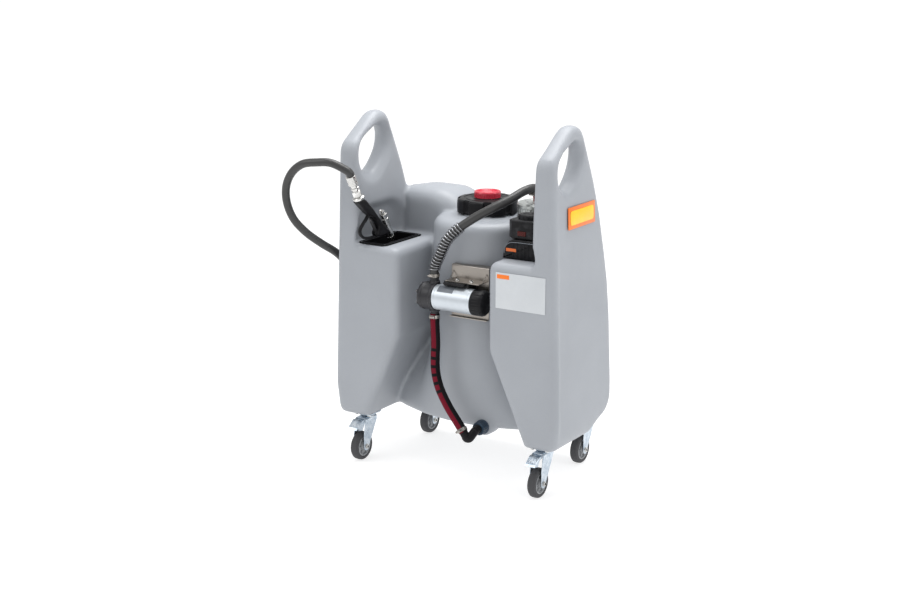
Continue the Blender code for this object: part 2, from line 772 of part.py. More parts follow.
def filler(cap_finish, vent_finish, rubber):
    """Gasket, lobed screw cap and vent valve, turning on the neck's axis."""
    seat = DRUM_TOP_Z + PAD_HEIGHT + GAP
    origin = (0, DRUM_CENTRE_Y, seat)
    gasket = ring(NECK_RADIUS + GAP + FACET, CAP_RADIUS - 0.010, 0, GASKET_THICKNESS)
    piece("filler_gasket", gasket, rubber, origin, local=True)

    low = GASKET_THICKNESS + GAP
    high = low + CAP_HEIGHT
    rings = []
    count = CAP_LOBES * 6
    for pull, z in ((0.0, low), (0.0, high - 0.005), (0.005, high)):
        outline = []
        for k in range(count):
            angle = 2 * math.pi * k / count
            wave = 1.0 if (k % 6) < 4 else 0.0
            radius = CAP_RADIUS - pull - CAP_LOBE_DEPTH * (1 - wave)
            outline.append(vec(radius * math.cos(angle), radius * math.sin(angle), z))
        rings.append(outline)
    room = rod(NECK_RADIUS + RUN + FACET, (0, 0, -0.01), (0, 0, high - CAP_ROOF), ROUND)
    vent_seat = rod(VENT_STEM + RUN, (0, 0, 0), (0, 0, high + 0.01), SMALL_ROUND)
    cap_origin = (0, DRUM_CENTRE_Y, seat)
    piece("filler_cap", solid([loft(rings)], [room, vent_seat]), cap_finish, cap_origin, local=True)

    top = high + GAP
    profile = [
        (0, high - CAP_ROOF),
        (VENT_STEM, high - CAP_ROOF),
        (VENT_STEM, top),
        (VENT_RADIUS - 0.002, top),
        (VENT_RADIUS, top + 0.002),
        (VENT_RADIUS, top + VENT_HEIGHT - 0.004),
        (VENT_RADIUS - 0.004, top + VENT_HEIGHT),
        (VENT_RADIUS - 0.010, top + VENT_HEIGHT - 0.003),
        (0, top + VENT_HEIGHT - 0.003),
    ]
    piece("vent_cap", turned(profile, sides=24), vent_finish, cap_origin, local=True)


def pocket_floor():
    """Height of the floor that the spout stands on."""
    return LEDGE_Z - HOLDER_DEPTH + GAP


def nozzle_holder(material):
    """The insert in the left ledge: a flange, and a pocket with an open top."""
    x, y = HOLDER_X, HOLDER_Y
    low = LEDGE_Z + GAP
    flange = slab(rounded_rectangle(x, y, HOLDER_CORNER, 3), "XY", low, low + HOLDER_FLANGE, 0.001, 1)
    tub_x = (x[0] + HOLDER_RIM, x[1] - HOLDER_RIM)
    tub_y = (y[0] + HOLDER_RIM, y[1] - HOLDER_RIM)
    floor = pocket_floor()
    tub = block(tub_x, tub_y, (floor - HOLDER_WALL, low + 0.001))
    room = block(
        (tub_x[0] + HOLDER_WALL, tub_x[1] - HOLDER_WALL),
        (tub_y[0] + HOLDER_WALL, tub_y[1] - HOLDER_WALL),
        (floor, low + 0.02),
    )
    piece("nozzle_holder", solid([flange, tub], [room]), material)


def outlet(blue, black):
    """Tank fitting with its nut, and the elbow in front of it."""
    face = outlet_face() - GAP
    frame = aim((OUTLET_X, face, OUTLET_Z), (0, -1, 0))
    angles = [math.radians(60 * k + side) for k in range(6) for side in (-14, 14)]
    outline = [(OUTLET_NUT_RADIUS * math.cos(a), OUTLET_NUT_RADIUS * math.sin(a)) for a in angles]
    nut = moved(slab(outline, "XY", 0, OUTLET_NUT_LENGTH, 0.0015, 1), frame)
    stem = rod(OUTLET_STEM_RADIUS, (OUTLET_X, face - 0.004, OUTLET_Z), (OUTLET_X, face + 0.035, OUTLET_Z))
    bore = rod(OUTLET_BORE, (OUTLET_X, face - 0.06, OUTLET_Z), (OUTLET_X, face + 0.06, OUTLET_Z), TINY_ROUND)
    piece("outlet_bulkhead", solid([nut, stem], [bore]), blue)

    start = Vector((OUTLET_X, face - OUTLET_NUT_LENGTH - GAP, OUTLET_Z))
    bend = start + Vector((0, -ELBOW_NECK, 0))
    legs = [
        rod(ELBOW_RADIUS, start, bend),
        ball(ELBOW_RADIUS, bend),
        rod(ELBOW_RADIUS, bend, ELBOW_CORNER),
        ball(ELBOW_RADIUS, ELBOW_CORNER),
        rod(ELBOW_RADIUS * 0.94, ELBOW_CORNER, SUCTION_FOOT),
    ]
    piece("outlet_elbow", solid(legs), black)


def ball(radius, centre):
    """A coarse ball at the bend between two bars."""
    angles = [math.radians(a) for a in range(0, 181, 36)]
    profile = [(radius * math.sin(a), -radius * math.cos(a)) for a in angles]
    return turned(profile, Matrix.Translation(centre), TINY_ROUND)


def port_end(up):
    """The end of a pump port, where a hose begins."""
    side = 1 if up else -1
    return Vector((PORT_X, PORT_Y, PUMP_Z + side * (HEAD_RADIUS + PORT_HEIGHT)))


def suction_route():
    """Route of the suction hose from the pump down to the elbow."""
    top = port_end(False)
    away = (SUCTION_FOOT - ELBOW_CORNER).normalized()
    return [
        top + Vector((0, 0, -GAP)),
        top + Vector((0, 0, -0.030)),
        vec(-0.043, -0.138, 0.370),
        vec(-0.043, -0.140, 0.300),
        vec(-0.028, -0.143, 0.248),
        vec(0.002, -0.146, 0.200),
        vec(0.032, -0.1475, 0.163),
        SUCTION_FOOT + away * 0.014,
        SUCTION_FOOT + away * GAP,
    ]


def stub_foot():
    """Where the inlet stub stands on the flow head."""
    return Vector((METER_X, METER_Y, METER_FLOOR_Z + METER_HEIGHT + GAP))


def stub_top():
    """The upper end of the flow head's inlet stub."""
    return stub_foot() + STUB_LEAN * (STUB_HEIGHT + 0.004)


def riser_route():
    """Route of the riser hose from the pump, past the filler, to the flow head."""
    low = port_end(True)
    end = stub_top()
    return [
        low + Vector((0, 0, GAP)),
        low + Vector((0, 0, 0.030)),
        vec(-0.031, -0.137, 0.610),
        vec(-0.010, -0.132, 0.655),
        vec(0.022, -0.122, 0.689),
        vec(0.063, -0.105, 0.720),
        vec(0.101, -0.080, 0.744),
        vec(0.131, -0.045, 0.764),
        vec(0.149, -0.006, 0.781),
        end + STUB_LEAN * 0.020,
        end + STUB_LEAN * GAP,
    ]


def clamp(place, direction, diameter):
    """A worm drive clamp: a band with its screw housing, round a hose."""
    inner = diameter / 2 + GAP
    outer = inner + CLAMP_THICKNESS
    frame = aim(place, direction, (0, -1, 0))
    band = ring(inner, outer, -CLAMP_WIDTH / 2, CLAMP_WIDTH / 2, frame, 16)
    housing = block(
        (outer - 0.0005, outer + 0.0065),
        (-0.007, 0.007),
        (-CLAMP_WIDTH / 2 + 0.0005, CLAMP_WIDTH / 2 - 0.0005),
    )
    return solid([band, moved(housing, frame)])


def hoses(suction_rubber, riser_rubber, wire, steel):
    """Suction and riser hose, the wound kink guard and the clamps."""
    suction = tube_route(suction_route(), SUCTION_DIAMETER * 1.3)
    riser = tube_route(riser_route(), RISER_DIAMETER)
    tube("suction_hose", suction, SUCTION_DIAMETER, suction_rubber)
    tube("riser_hose", riser, RISER_DIAMETER, riser_rubber)

    radius = RISER_DIAMETER / 2 + GUARD_WIRE / 2 + GUARD_CLEARANCE
    fine = smooth_route(riser_route(), 0.001)
    start = CLAMP_WIDTH + 0.010
    per_turn = 8
    count = GUARD_TURNS * per_turn + 1
    along = np.linspace(start, start + GUARD_LENGTH, count) / 0.001
    along = along * (len(fine) - 1) * 0.001 / path_length(fine)
    centre = np.stack([np.interp(along, np.arange(len(fine)), fine[:, k]) for k in range(3)], axis=1)
    heading = np.gradient(fine, axis=0)
    heading = np.stack([np.interp(along, np.arange(len(fine)), heading[:, k]) for k in range(3)], axis=1)
    heading /= np.linalg.norm(heading, axis=1, keepdims=True)
    side = np.cross(heading, [0.0, 1.0, 0.0])
    side /= np.linalg.norm(side, axis=1, keepdims=True)
    front = np.cross(side, heading)
    angle = np.linspace(0, 2 * math.pi * GUARD_TURNS, count)[:, None]
    helix = centre + radius * (side * np.cos(angle) + front * np.sin(angle))
    tube("kink_guard_spring", helix, GUARD_WIRE, wire, resolution=1)
    print("kink guard least gap to itself, mm:", round(1000 * least_gap(helix, per_turn, GUARD_WIRE), 2))

    for hose, path, diameter in (
        ("suction", suction, SUCTION_DIAMETER),
        ("riser", riser, RISER_DIAMETER),
    ):
        for place, end, inside in (("pump", path[0], path[1]), ("far", path[-1], path[-2])):
            heading = (inside - end).normalized()
            middle = end + heading * (CLAMP_WIDTH / 2 + CLAMP_SETBACK)
            band = clamp(middle, heading, diameter * CLAMP_ROOM)
            piece(f"hose_clamp_{hose}_{place}_end", band, steel)


def path_length(points):
    """Length of a chain of points."""
    return float(np.sum(np.linalg.norm(np.diff(points, axis=0), axis=1)))


def least_gap(points, apart, diameter):
    """The least distance between two stretches of a wound wire, less its diameter."""
    spread = np.linalg.norm(points[:, None, :] - points[None, :, :], axis=2)
    index = np.arange(len(points))
    near = np.abs(index[:, None] - index[None, :]) < apart - 2
    return float(np.min(np.where(near, np.inf, spread))) - diameter


def pump(cast, can_finish, black, steel):
    """Pump head, motor can, end cap, rotor and foot, and the bracket with its bolt heads."""
    axis = aim((0, PUMP_Y, PUMP_Z), (1, 0, 0), (0, 1, 0))

    def along_x(profile, sides=ROUND, closed=False):
        return turned(profile, axis, sides, closed)

    start, end = HEAD_X
    head = along_x(
        [
            (0, start),
            (HEAD_RADIUS - 0.006, start),
            (HEAD_RADIUS, start + 0.004),
            (HEAD_RADIUS, end - 0.002),
            (HEAD_RADIUS - 0.002, end),
            (0, end),
        ],
        24,
    )
    ports = []
    for up in (True, False):
        mouth = port_end(up)
        middle = vec(PORT_X, PORT_Y, PUMP_Z)
        inward = (middle - mouth).normalized()
        seat = mouth + inward * (PORT_HEIGHT - PORT_COLLAR)
        collar_foot = middle - inward * (CAN_RADIUS + GAP)
        port_foot = middle - inward * (ROTOR_RADIUS + 0.008)
        ports.append(rod(PORT_RADIUS, port_foot, mouth, TINY_ROUND))
        ports.append(rod(PORT_RADIUS + 0.0035, collar_foot, seat, SMALL_ROUND))
    room = along_x(
        [
            (0, start + 0.010),
            (ROTOR_RADIUS + 0.002, start + 0.010),
            (ROTOR_RADIUS + 0.002, start + 0.012 + ROTOR_LENGTH),
            (SHAFT_RADIUS + RUN, start + 0.012 + ROTOR_LENGTH),
            (SHAFT_RADIUS + RUN, end + 0.01),
            (0, end + 0.01),
        ],
        SMALL_ROUND,
    )
    piece("pump_head", solid([head, *ports], [room]), cast)

    can_start = end + GAP
    can_end = can_start + CAN_LENGTH
    can = along_x(
        [
            (CAN_RADIUS, can_end),
            (CAN_RADIUS, can_start),
            (CAN_RADIUS - CAN_WALL, can_start),
            (CAN_RADIUS - CAN_WALL, can_end),
        ],
        closed=True,
    )
    piece("pump_motor_can", can, can_finish)

    cap_start = can_end + GAP
    cap_end = cap_start + END_CAP_LENGTH
    end_cap = along_x(
        [
            (0, cap_start + 0.006),
            (SHAFT_RADIUS + 0.006, cap_start + 0.006),
            (SHAFT_RADIUS + 0.006, cap_start),
            (CAN_RADIUS + 0.0005, cap_start),
            (CAN_RADIUS + 0.0005, cap_end - 0.008),
            (CAN_RADIUS - 0.006, cap_end),
            (0, cap_end),
        ],
        24,
    )
    piece("pump_end_cap", end_cap, black)

    rotor = along_x(
        [
            (0, start + 0.011),
            (ROTOR_RADIUS, start + 0.011),
            (ROTOR_RADIUS, start + 0.011 + ROTOR_LENGTH),
            (SHAFT_RADIUS, start + 0.011 + ROTOR_LENGTH),
            (SHAFT_RADIUS, can_start + 0.012),
            (ARMATURE_RADIUS, can_start + 0.012),
            (ARMATURE_RADIUS, can_end - 0.020),
            (SHAFT_RADIUS, can_end - 0.020),
            (SHAFT_RADIUS, cap_start + 0.005),
            (0, cap_start + 0.005),
        ],
        SMALL_ROUND,
    )
    piece("pump_rotor", rotor, steel, (0, PUMP_Y, PUMP_Z))

    saddle = block(
        (can_start + 0.022, can_start + 0.098),
        (PUMP_Y - 0.004, BRACKET_FLANGE_Y - GAP),
        (PUMP_Z, PUMP_Z + FOOT_BLOCK_Z),
        0.003,
        1,
    )
    can_room = rod(
        CAN_RADIUS + GAP, (can_start, PUMP_Y, PUMP_Z), (can_end, PUMP_Y, PUMP_Z), ROUND
    )
    piece("pump_foot", solid([saddle], [can_room]), black)

    x0, x1 = BRACKET_X
    sheet = BRACKET_SHEET
    back = BRACKET_FLANGE_Y
    plate = block((x0, x1), (back, back + sheet), (BRACKET_FOOT_Z, BRACKET_TOP_Z))
    front = PUMP_Y - 0.006
    shelf = block((x0 + 0.006, x1 - 0.006), (front, back + 0.001), (FOOT_SHELF_Z, FOOT_SHELF_Z + sheet))
    lip = block((x0, x1), (back, drum_front(0, 0.6) + 0.020), (BRACKET_TOP_Z - sheet, BRACKET_TOP_Z))
    lower = block((x0, x1), (back - 0.012, back + 0.001), (BRACKET_FOOT_Z, BRACKET_FOOT_Z + sheet))
    bolts = []
    for x in (x0 + 0.034, x1 - 0.040):
        place = vec(x, (front + back) / 2 - 0.004, FOOT_SHELF_Z + sheet - BOLT_SINK)
        bolts.append(hex_bolt(place, (0, 0, 1)))
    for x in (x0 + 0.014, x1 - 0.014):
        place = vec(x, back + BOLT_SINK, BRACKET_FOOT_Z + 0.018)
        bolts.append(hex_bolt(place, (0, -1, 0)))
    piece("pump_bracket", solid([plate, shelf, lip, lower, *bolts], [drum(-GAP)]), steel)


FOOT_SHELF_Z = PUMP_Z + FOOT_BLOCK_Z + GAP


def hexagon(radius):
    """The outline of a hexagon across its corners."""
    angles = [math.radians(60 * k) for k in range(6)]
    return [(radius * math.cos(a), radius * math.sin(a)) for a in angles]


def hex_bolt(place, direction):
    """A hexagon head on its seat."""
    return moved(slab(hexagon(BOLT_RADIUS), "XY", 0, BOLT_HEIGHT), aim(place, direction))


def flow_head(metal, red_brown, black):
    """Flow head in its pocket on the right shoulder, its inlet stub and its rear hose tail."""
    floor = METER_FLOOR_Z + GAP
    top = METER_FLOOR_Z + METER_HEIGHT
    count = METER_RIBS * 3
    rings = []
    for pull, z in ((0.004, floor), (0.0, floor + 0.004), (0.0, top - 0.006), (0.006, top)):
        outline = []
        for k in range(count):
            angle = 2 * math.pi * k / count
            radius = METER_RADIUS - pull - (0.0 if k % 3 else 0.002)
            outline.append(
                vec(METER_X + radius * math.cos(angle), METER_Y + radius * math.sin(angle), z)
            )
        rings.append(outline)
    boss_y = METER_Y + METER_RADIUS
    boss = rod(0.014, (METER_X, METER_Y, TAIL_Z), (METER_X, boss_y + 0.006, TAIL_Z))
    piece("meter_body", solid([loft(rings), boss]), metal)

    foot = rod(STUB_RADIUS + 0.004, stub_foot(), stub_foot() + Vector((0, 0, 0.006)))
    neck = rod(STUB_RADIUS, stub_foot() + STUB_LEAN * 0.006, stub_top())
    piece("meter_inlet", solid([foot, neck]), red_brown)

    start = boss_y + 0.006 + GAP
    tail = turned(
        [
            (0, 0),
            (0.0125, 0),
            (0.0125, 0.010),
            (TAIL_RADIUS, 0.011),
            (TAIL_RADIUS, TAIL_LENGTH),
            (0, TAIL_LENGTH),
        ],
        aim((METER_X, start, TAIL_Z), (0, 1, 0)),
        20,
    )
    piece("meter_outlet", tail, black)


def tail_end():
    """The end of the flow head's hose tail, where the delivery hose begins."""
    return Vector((METER_X, METER_Y + METER_RADIUS + 0.006 + GAP + TAIL_LENGTH, TAIL_Z))


def swivel_foot():
    """Where the swivel stands on the grip's upper end."""
    return vec(NOZZLE_X, *GRIP_TOP) + SWIVEL_LEAN * (0.004 + GAP)


def ferrule_end():
    """The end of the ferrule, where the delivery hose ends."""
    return swivel_foot() + SWIVEL_LEAN * (SWIVEL_LENGTH + FERRULE_LENGTH + 2 * GAP)


GRIP_OUTLINE = [
    (-0.2277, 0.7480),
    (-0.2003, 0.7247),
    (-0.1827, 0.7112),
    (-0.1700, 0.7030),
    (-0.1575, 0.6980),
    (-0.1469, 0.6873),
    (-0.1349, 0.6678),
    (-0.1390, 0.6585),
    (-0.1430, 0.6520),
    (-0.1400, 0.6415),
    (-0.1250, 0.6385),
    (-0.0850, 0.6400),
    (-0.0840, 0.6520),
    (-0.1060, 0.6620),
    (-0.1164, 0.6764),
    (-0.1373, 0.6983),
    (-0.1632, 0.7239),
    (-0.1913, 0.7495),
    (-0.1990, 0.7540),
    (-0.2230, 0.7530),
]
GUARD_ROUTE = [
    (-0.171, 0.7065),
    (-0.182, 0.6950),
    (-0.198, 0.6835),
    (-0.2105, 0.6705),
    (-0.2085, 0.6575),
    (-0.1945, 0.6470),
    (-0.171, 0.6420),
    (-0.150, 0.6420),
    (-0.134, 0.6450),
]
LEVER_OUTLINE = [
    (-0.1375, 0.6440),
    (-0.1390, 0.6520),
    (-0.1455, 0.6620),
    (-0.1570, 0.6800),
    (-0.1650, 0.6915),
    (-0.1612, 0.6945),
    (-0.1525, 0.6835),
    (-0.1400, 0.6640),
    (-0.1290, 0.6520),
    (-0.1285, 0.6450),
]


def nozzle(black, grey, bright, dark):
    """Grip with guard, lever on its pin, valve body, spout, swivel and ferrule."""
    half = GRIP_WIDTH / 2
    grip = slab(GRIP_OUTLINE, "YZ", NOZZLE_X - half, NOZZLE_X + half, 0.003, 2)
    smooth = smooth_route([vec(NOZZLE_X, y, z) for y, z in GUARD_ROUTE], 0.013)
    guard = tube("guard_tool", smooth, GUARD_THICKNESS, black)
    graph = bpy.context.evaluated_depsgraph_get()
    guard_mesh = bpy.data.meshes.new_from_object(guard.evaluated_get(graph))
    bpy.data.objects.remove(guard)
    room = [(-0.150, 0.630), (-0.150, 0.668), (-0.128, 0.668), (-0.122, 0.655), (-0.122, 0.630)]
    slot_half = LEVER_WIDTH / 2 + RUN
    slot = slab(room, "YZ", NOZZLE_X - slot_half, NOZZLE_X + slot_half)
    pin_start = vec(NOZZLE_X - half, *LEVER_PLACE)
    pin_end = vec(NOZZLE_X + half, *LEVER_PLACE)
    over = vec(0.01, 0, 0)
    pin_hole = rod(LEVER_PIN_RADIUS + GAP, pin_start - over, pin_end + over, 12)
    valve_top = vec(NOZZLE_X, *VALVE_TOP)
    valve_foot = vec(NOZZLE_X, *VALVE_FOOT)
    along = (valve_foot - valve_top).normalized()
    valve_room = rod(VALVE_RADIUS + GAP, valve_top, valve_foot + along * 0.02, 20)
    lean_room = rod(0.018, (0, 0, 0), (0, 0, 0.02))
    lean_room = moved(lean_room, aim(swivel_foot() - SWIVEL_LEAN * GAP, SWIVEL_LEAN))
    origin = vec(NOZZLE_X, *GRIP_TOP)
    body = solid([grip, guard_mesh], [slot, pin_hole, valve_room, lean_room])
    piece("nozzle_body", body, black, origin)

    inside = vec(0.001, 0, 0)
    piece("lever_pin", rod(LEVER_PIN_RADIUS, pin_start + inside, pin_end - inside, 12), dark, pin_start)
    lever_half = LEVER_WIDTH / 2
    lever = slab(LEVER_OUTLINE, "YZ", NOZZLE_X - lever_half, NOZZLE_X + lever_half)
    lever_hole = rod(LEVER_PIN_RADIUS + GAP, pin_start, pin_end, 12)
    piece("nozzle_lever", solid([lever], [lever_hole]), grey, vec(NOZZLE_X, *LEVER_PLACE))

    length = (valve_foot - valve_top).length
    valve = turned(
        [
            (0, -0.009),
            (0.0065, -0.009),
            (0.0065, 0.0),
            (VALVE_RADIUS - 0.001, 0.0),
            (VALVE_RADIUS, 0.002),
            (VALVE_RADIUS, length),
            (0, length),
        ],
        aim(valve_top, along),
        20,
    )
    piece("nozzle_valve", valve, bright, valve_top)
    spout_start = valve_foot + along * GAP
    collar = rod(SPOUT_RADIUS + 0.002, spout_start, spout_start + along * 0.008, 20)
    bend = valve_foot + along * 0.008
    lean_y = SPOUT_TIP_Y - bend.y
    drop = bend.z - pocket_floor()
    tip = vec(NOZZLE_X, SPOUT_TIP_Y, pocket_floor() + GAP + SPOUT_RADIUS * lean_y / math.hypot(lean_y, drop))
    piece("nozzle_spout", solid([collar, rod(SPOUT_RADIUS, bend, tip, 20)]), bright, spout_start)

    start = swivel_foot()
    lean = aim(start, SWIVEL_LEAN)
    profile = [(0, 0), (0.0150, 0), (0.0165, 0.002), (0.0165, 0.007), (0.0125, 0.009), (0, 0.009)]
    collar = turned(profile, lean, SMALL_ROUND)
    nut = moved(slab(hexagon(SWIVEL_RADIUS), "XY", 0.008, 0.026, 0.001, 1), lean)
    stem = moved(rod(0.0095, (0, 0, 0.025), (0, 0, SWIVEL_LENGTH)), lean)
    piece("nozzle_swivel", solid([collar, nut, stem]), bright, start)

    ferrule_start = start + SWIVEL_LEAN * (SWIVEL_LENGTH + GAP)
    ferrule = turned(
        [
            (0, 0),
            (FERRULE_RADIUS - 0.001, 0),
            (FERRULE_RADIUS, 0.002),
            (FERRULE_RADIUS, 0.009),
            (FERRULE_RADIUS - 0.0015, 0.011),
            (FERRULE_RADIUS, 0.013),
            (FERRULE_RADIUS, FERRULE_LENGTH - 0.001),
            (FERRULE_RADIUS - 0.001, FERRULE_LENGTH),
            (0, FERRULE_LENGTH),
        ],
        aim(ferrule_start, SWIVEL_LEAN),
        SMALL_ROUND,
    )
    piece("hose_ferrule", ferrule, bright)


def delivery_route():
    """Route of the free delivery hose, from the flow head round the back to the nozzle."""
    start = tail_end()
    side = WIDTH / 2
    end = ferrule_end()
    return [
        start + Vector((0, GAP, 0)),
        start + Vector((0, 0.040, 0.000)),
        vec(0.160, 0.229, 0.712),
        vec(0.159, 0.2625, 0.6805),
        vec(0.155, 0.279, 0.638),
        vec(0.148, 0.287, 0.588),
        vec(0.130, 0.292, 0.510),
        vec(0.100, 0.294, 0.410),
        vec(0.048, 0.296, 0.310),
        vec(-0.025, 0.302, 0.235),
        vec(-0.115, 0.308, 0.198),
        vec(-0.205, 0.300, 0.196),
        vec(-0.285, 0.272, 0.222),
        vec(-side + 0.0190, 0.215, 0.268),
        vec(-side - 0.0050, 0.140, 0.328),
        vec(-side - 0.0080, 0.060, 0.398),
        vec(-side - 0.0050, -0.020, 0.470),
        vec(-side - 0.0040, -0.090, 0.535),
        vec(-side - 0.0080, -0.140, 0.580),
        vec(-side - 0.0310, -0.180, 0.612),
        vec(-side - 0.0580, -0.212, 0.645),
        vec(-side - 0.0800, -0.238, 0.685),
        vec(-side - 0.0890, -0.254, 0.732),
        vec(-side - 0.0820, -0.264, 0.778),
        vec(-side - 0.0560, -0.272, 0.818),
        vec(-side - 0.0170, -0.276, 0.845),
        vec(-side + 0.0270, -0.272, 0.853),
        vec(-0.287, -0.262, 0.853),
        end + SWIVEL_LEAN * 0.012,
        end,
    ]


def delivery_hose(rubber):
    """The free hose as a tube along its route."""
    points = tube_route(delivery_route(), DELIVERY_DIAMETER * 2.2)
    tube("delivery_hose", points, DELIVERY_DIAMETER, rubber)
    print("delivery hose length, m:", round(path_length(smooth_route(delivery_route(), 0.005)), 3))


def battery(black, red):
    """Dock, pack with its round boss, and the release button, on the right ledge."""
    low = LEDGE_Z + GAP
    top = low + DOCK_HEIGHT
    x0, x1 = DOCK_X
    outline = [
        (x0, low),
        (x1, low),
        (x1, top),
        (x0 + 0.030, top),
        (x0 + 0.018, top - 0.006),
        (x0 + 0.008, top - 0.018),
        (x0 + 0.002, top - 0.036),
    ]
    piece("battery_dock", slab(outline, "XZ", *DOCK_Y, 0.004, 2), black)

    base = top + GAP
    roof = base + PACK_HEIGHT
    chamfer = 0.014
    u, v = PACK_X, PACK_Y
    plan = [
        (u[0] + chamfer, v[0]),
        (u[1] - chamfer, v[0]),
        (u[1], v[0] + chamfer),
        (u[1], v[1]),
        (u[0], v[1]),
        (u[0], v[0] + chamfer),
    ]
    body = slab(plan, "XY", base, roof, 0.005, 2)
    centre = vec((u[0] + u[1]) / 2, (v[0] + v[1]) / 2, 0)
    boss = turned(
        [
            (0, roof - 0.01),
            (BOSS_RADIUS, roof - 0.01),
            (BOSS_RADIUS, roof + BOSS_HEIGHT - 0.004),
            (BOSS_RADIUS - 0.004, roof + BOSS_HEIGHT),
            (0, roof + BOSS_HEIGHT),
        ],
        Matrix.Translation(centre),
        24,
    )
    middle = (u[0] + u[1]) / 2
    button_x = (middle - 0.012, middle + 0.012)
    button_z = (base + 0.010, base + 0.022)
    room = block(
        (button_x[0] - RUN, button_x[1] + RUN),
        (v[0] - 0.01, v[0] + 0.0075),
        (button_z[0] - RUN, button_z[1] + RUN),
    )
    piece("battery_pack", solid([body, boss], [room]), black)
    button = block(button_x, (v[0] - 0.002, v[0] + 0.0035), button_z, 0.001, 1)
    piece("battery_latch", button, red, (middle, v[0], sum(button_z) / 2))


def plates(white, orange, yellow):
    """Blank label on the right box and blank sign with its inlay on the right tower."""
    face = FRONT_Y - GAP
    label = slab(rounded_rectangle(LABEL_X, LABEL_Z, 0.002, 1), "XZ", face - 0.001, face)
    piece("label_plate", label, white)
    middle = sum(SIGN_Z) / 2
    start = tower_outer(middle) + GAP
    end = start + SIGN_THICKNESS
    edge = SIGN_INLAY_EDGE
    y = (SIGN_Y[0] + edge, SIGN_Y[1] - edge)
    z = (SIGN_Z[0] + edge, SIGN_Z[1] - edge)
    sign = slab(rounded_rectangle(SIGN_Y, SIGN_Z, 0.003, 1), "YZ", start, end)
    inlay = slab(rounded_rectangle(y, z, 0.010, 3), "YZ", end + GAP, end + GAP + 0.0008)
    for mesh in (sign, inlay):
        for vertex in mesh.vertices:
            vertex.co.x -= DRAFT * (vertex.co.z - middle)
    piece("end_plate", sign, orange)
    piece("end_plate_inlay", inlay, yellow)


def caster_meshes():
    """The meshes that all casters share, each about the swivel axis at floor height."""
    plate_top = UNDERSIDE_Z - GAP
    plate_low = plate_top - CASTER_PLATE_THICKNESS
    race_low = plate_low - RACE_HEIGHT
    half = CASTER_PLATE / 2
    spread = BOLT_SPREAD / 2
    plate = solid(
        [
            slab(rounded_rectangle((-half, half), (-half, half), 0.006, 1), "XY", plate_low, plate_top),
            rod(RACE_RADIUS, (0, 0, race_low), (0, 0, plate_low + 0.001), WHEEL_SIDES),
            *[
                hex_bolt((u * spread, v * spread, plate_low + BOLT_SINK), (0, 0, -1))
                for u in (-1, 1)
                for v in (-1, 1)
            ],
        ]
    )
    crown_top = race_low - GAP
    crown_low = crown_top - FORK_SHEET
    reach = FORK_GAP / 2 + FORK_SHEET
    back = RACE_RADIUS + 0.001
    crown = slab(
        rounded_rectangle((-reach, reach), (-TRAIL, back), 0.003, 1), "XY", crown_low, crown_top
    )
    leg_outline = [
        (-TRAIL, crown_top),
        (back, crown_top),
        (back, crown_top - 0.014),
        (-TRAIL + 0.013, WHEEL_RADIUS - 0.006),
        (-TRAIL + 0.006, WHEEL_RADIUS - 0.012),
        (-TRAIL - 0.006, WHEEL_RADIUS - 0.012),
        (-TRAIL - 0.012, WHEEL_RADIUS - 0.004),
        (-TRAIL - 0.012, WHEEL_RADIUS + 0.030),
    ]
    legs = [
        slab(leg_outline, "YZ", FORK_GAP / 2, reach),
        slab(leg_outline, "YZ", -reach, -FORK_GAP / 2),
    ]
    hole = rod(
        AXLE_RADIUS + GAP, (-0.03, -TRAIL, WHEEL_RADIUS), (0.03, -TRAIL, WHEEL_RADIUS), TINY_ROUND
    )
    fork = solid([crown, *legs], [hole])

    sideways = aim((0, 0, 0), (1, 0, 0))
    tyre_inner = WHEEL_RADIUS - TYRE_DEPTH
    w = TYRE_WIDTH / 2
    tyre = turned(
        [
            (WHEEL_RADIUS, w - 0.006),
            (WHEEL_RADIUS, -w + 0.006),
            (WHEEL_RADIUS - 0.005, -w),
            (tyre_inner, -w + 0.001),
            (tyre_inner, w - 0.001),
            (WHEEL_RADIUS - 0.005, w),
        ],
        sideways,
        WHEEL_SIDES,
        closed=True,
    )
    h = HUB_WIDTH / 2
    rim = tyre_inner - GAP
    hub = turned(
        [
            (rim, w - 0.002),
            (rim, -w + 0.002),
            (rim - 0.005, -w + 0.006),
            (0.011, -w + 0.006),
            (0.010, -h),
            (AXLE_RADIUS + RUN, -h),
            (AXLE_RADIUS + RUN, h),
            (0.010, h),
            (0.011, w - 0.006),
            (rim - 0.005, w - 0.006),
        ],
        sideways,
        WHEEL_SIDES,
        closed=True,
    )
    end = reach + GAP
    axle = turned(
        [
            (0, -end - 0.004),
            (0.0065, -end - 0.004),
            (0.0065, -end),
            (AXLE_RADIUS, -end),
            (AXLE_RADIUS, end),
            (0.0065, end),
            (0.0065, end + 0.004),
            (0, end + 0.004),
        ],
        sideways,
        12,
    )
    return {"plate": plate, "fork": fork, "tyre": tyre, "hub": hub, "axle": axle}, crown_low


def brake_pedal(crown_low):
    """The brake pedal about its hinge, which is level with the fork's front edge."""
    half = FORK_GAP / 2 - RUN
    outline = [
        (0.004, -0.0015),
        (0.004, 0.0015),
        (-0.016, 0.002),
        (-BRAKE_REACH, -0.014),
        (-BRAKE_REACH - 0.004, -0.022),
        (-BRAKE_REACH + 0.001, -0.022),
        (-BRAKE_REACH + 0.003, -0.016),
        (-0.017, -0.002),
    ]
    return slab(outline, "YZ", -half, half)


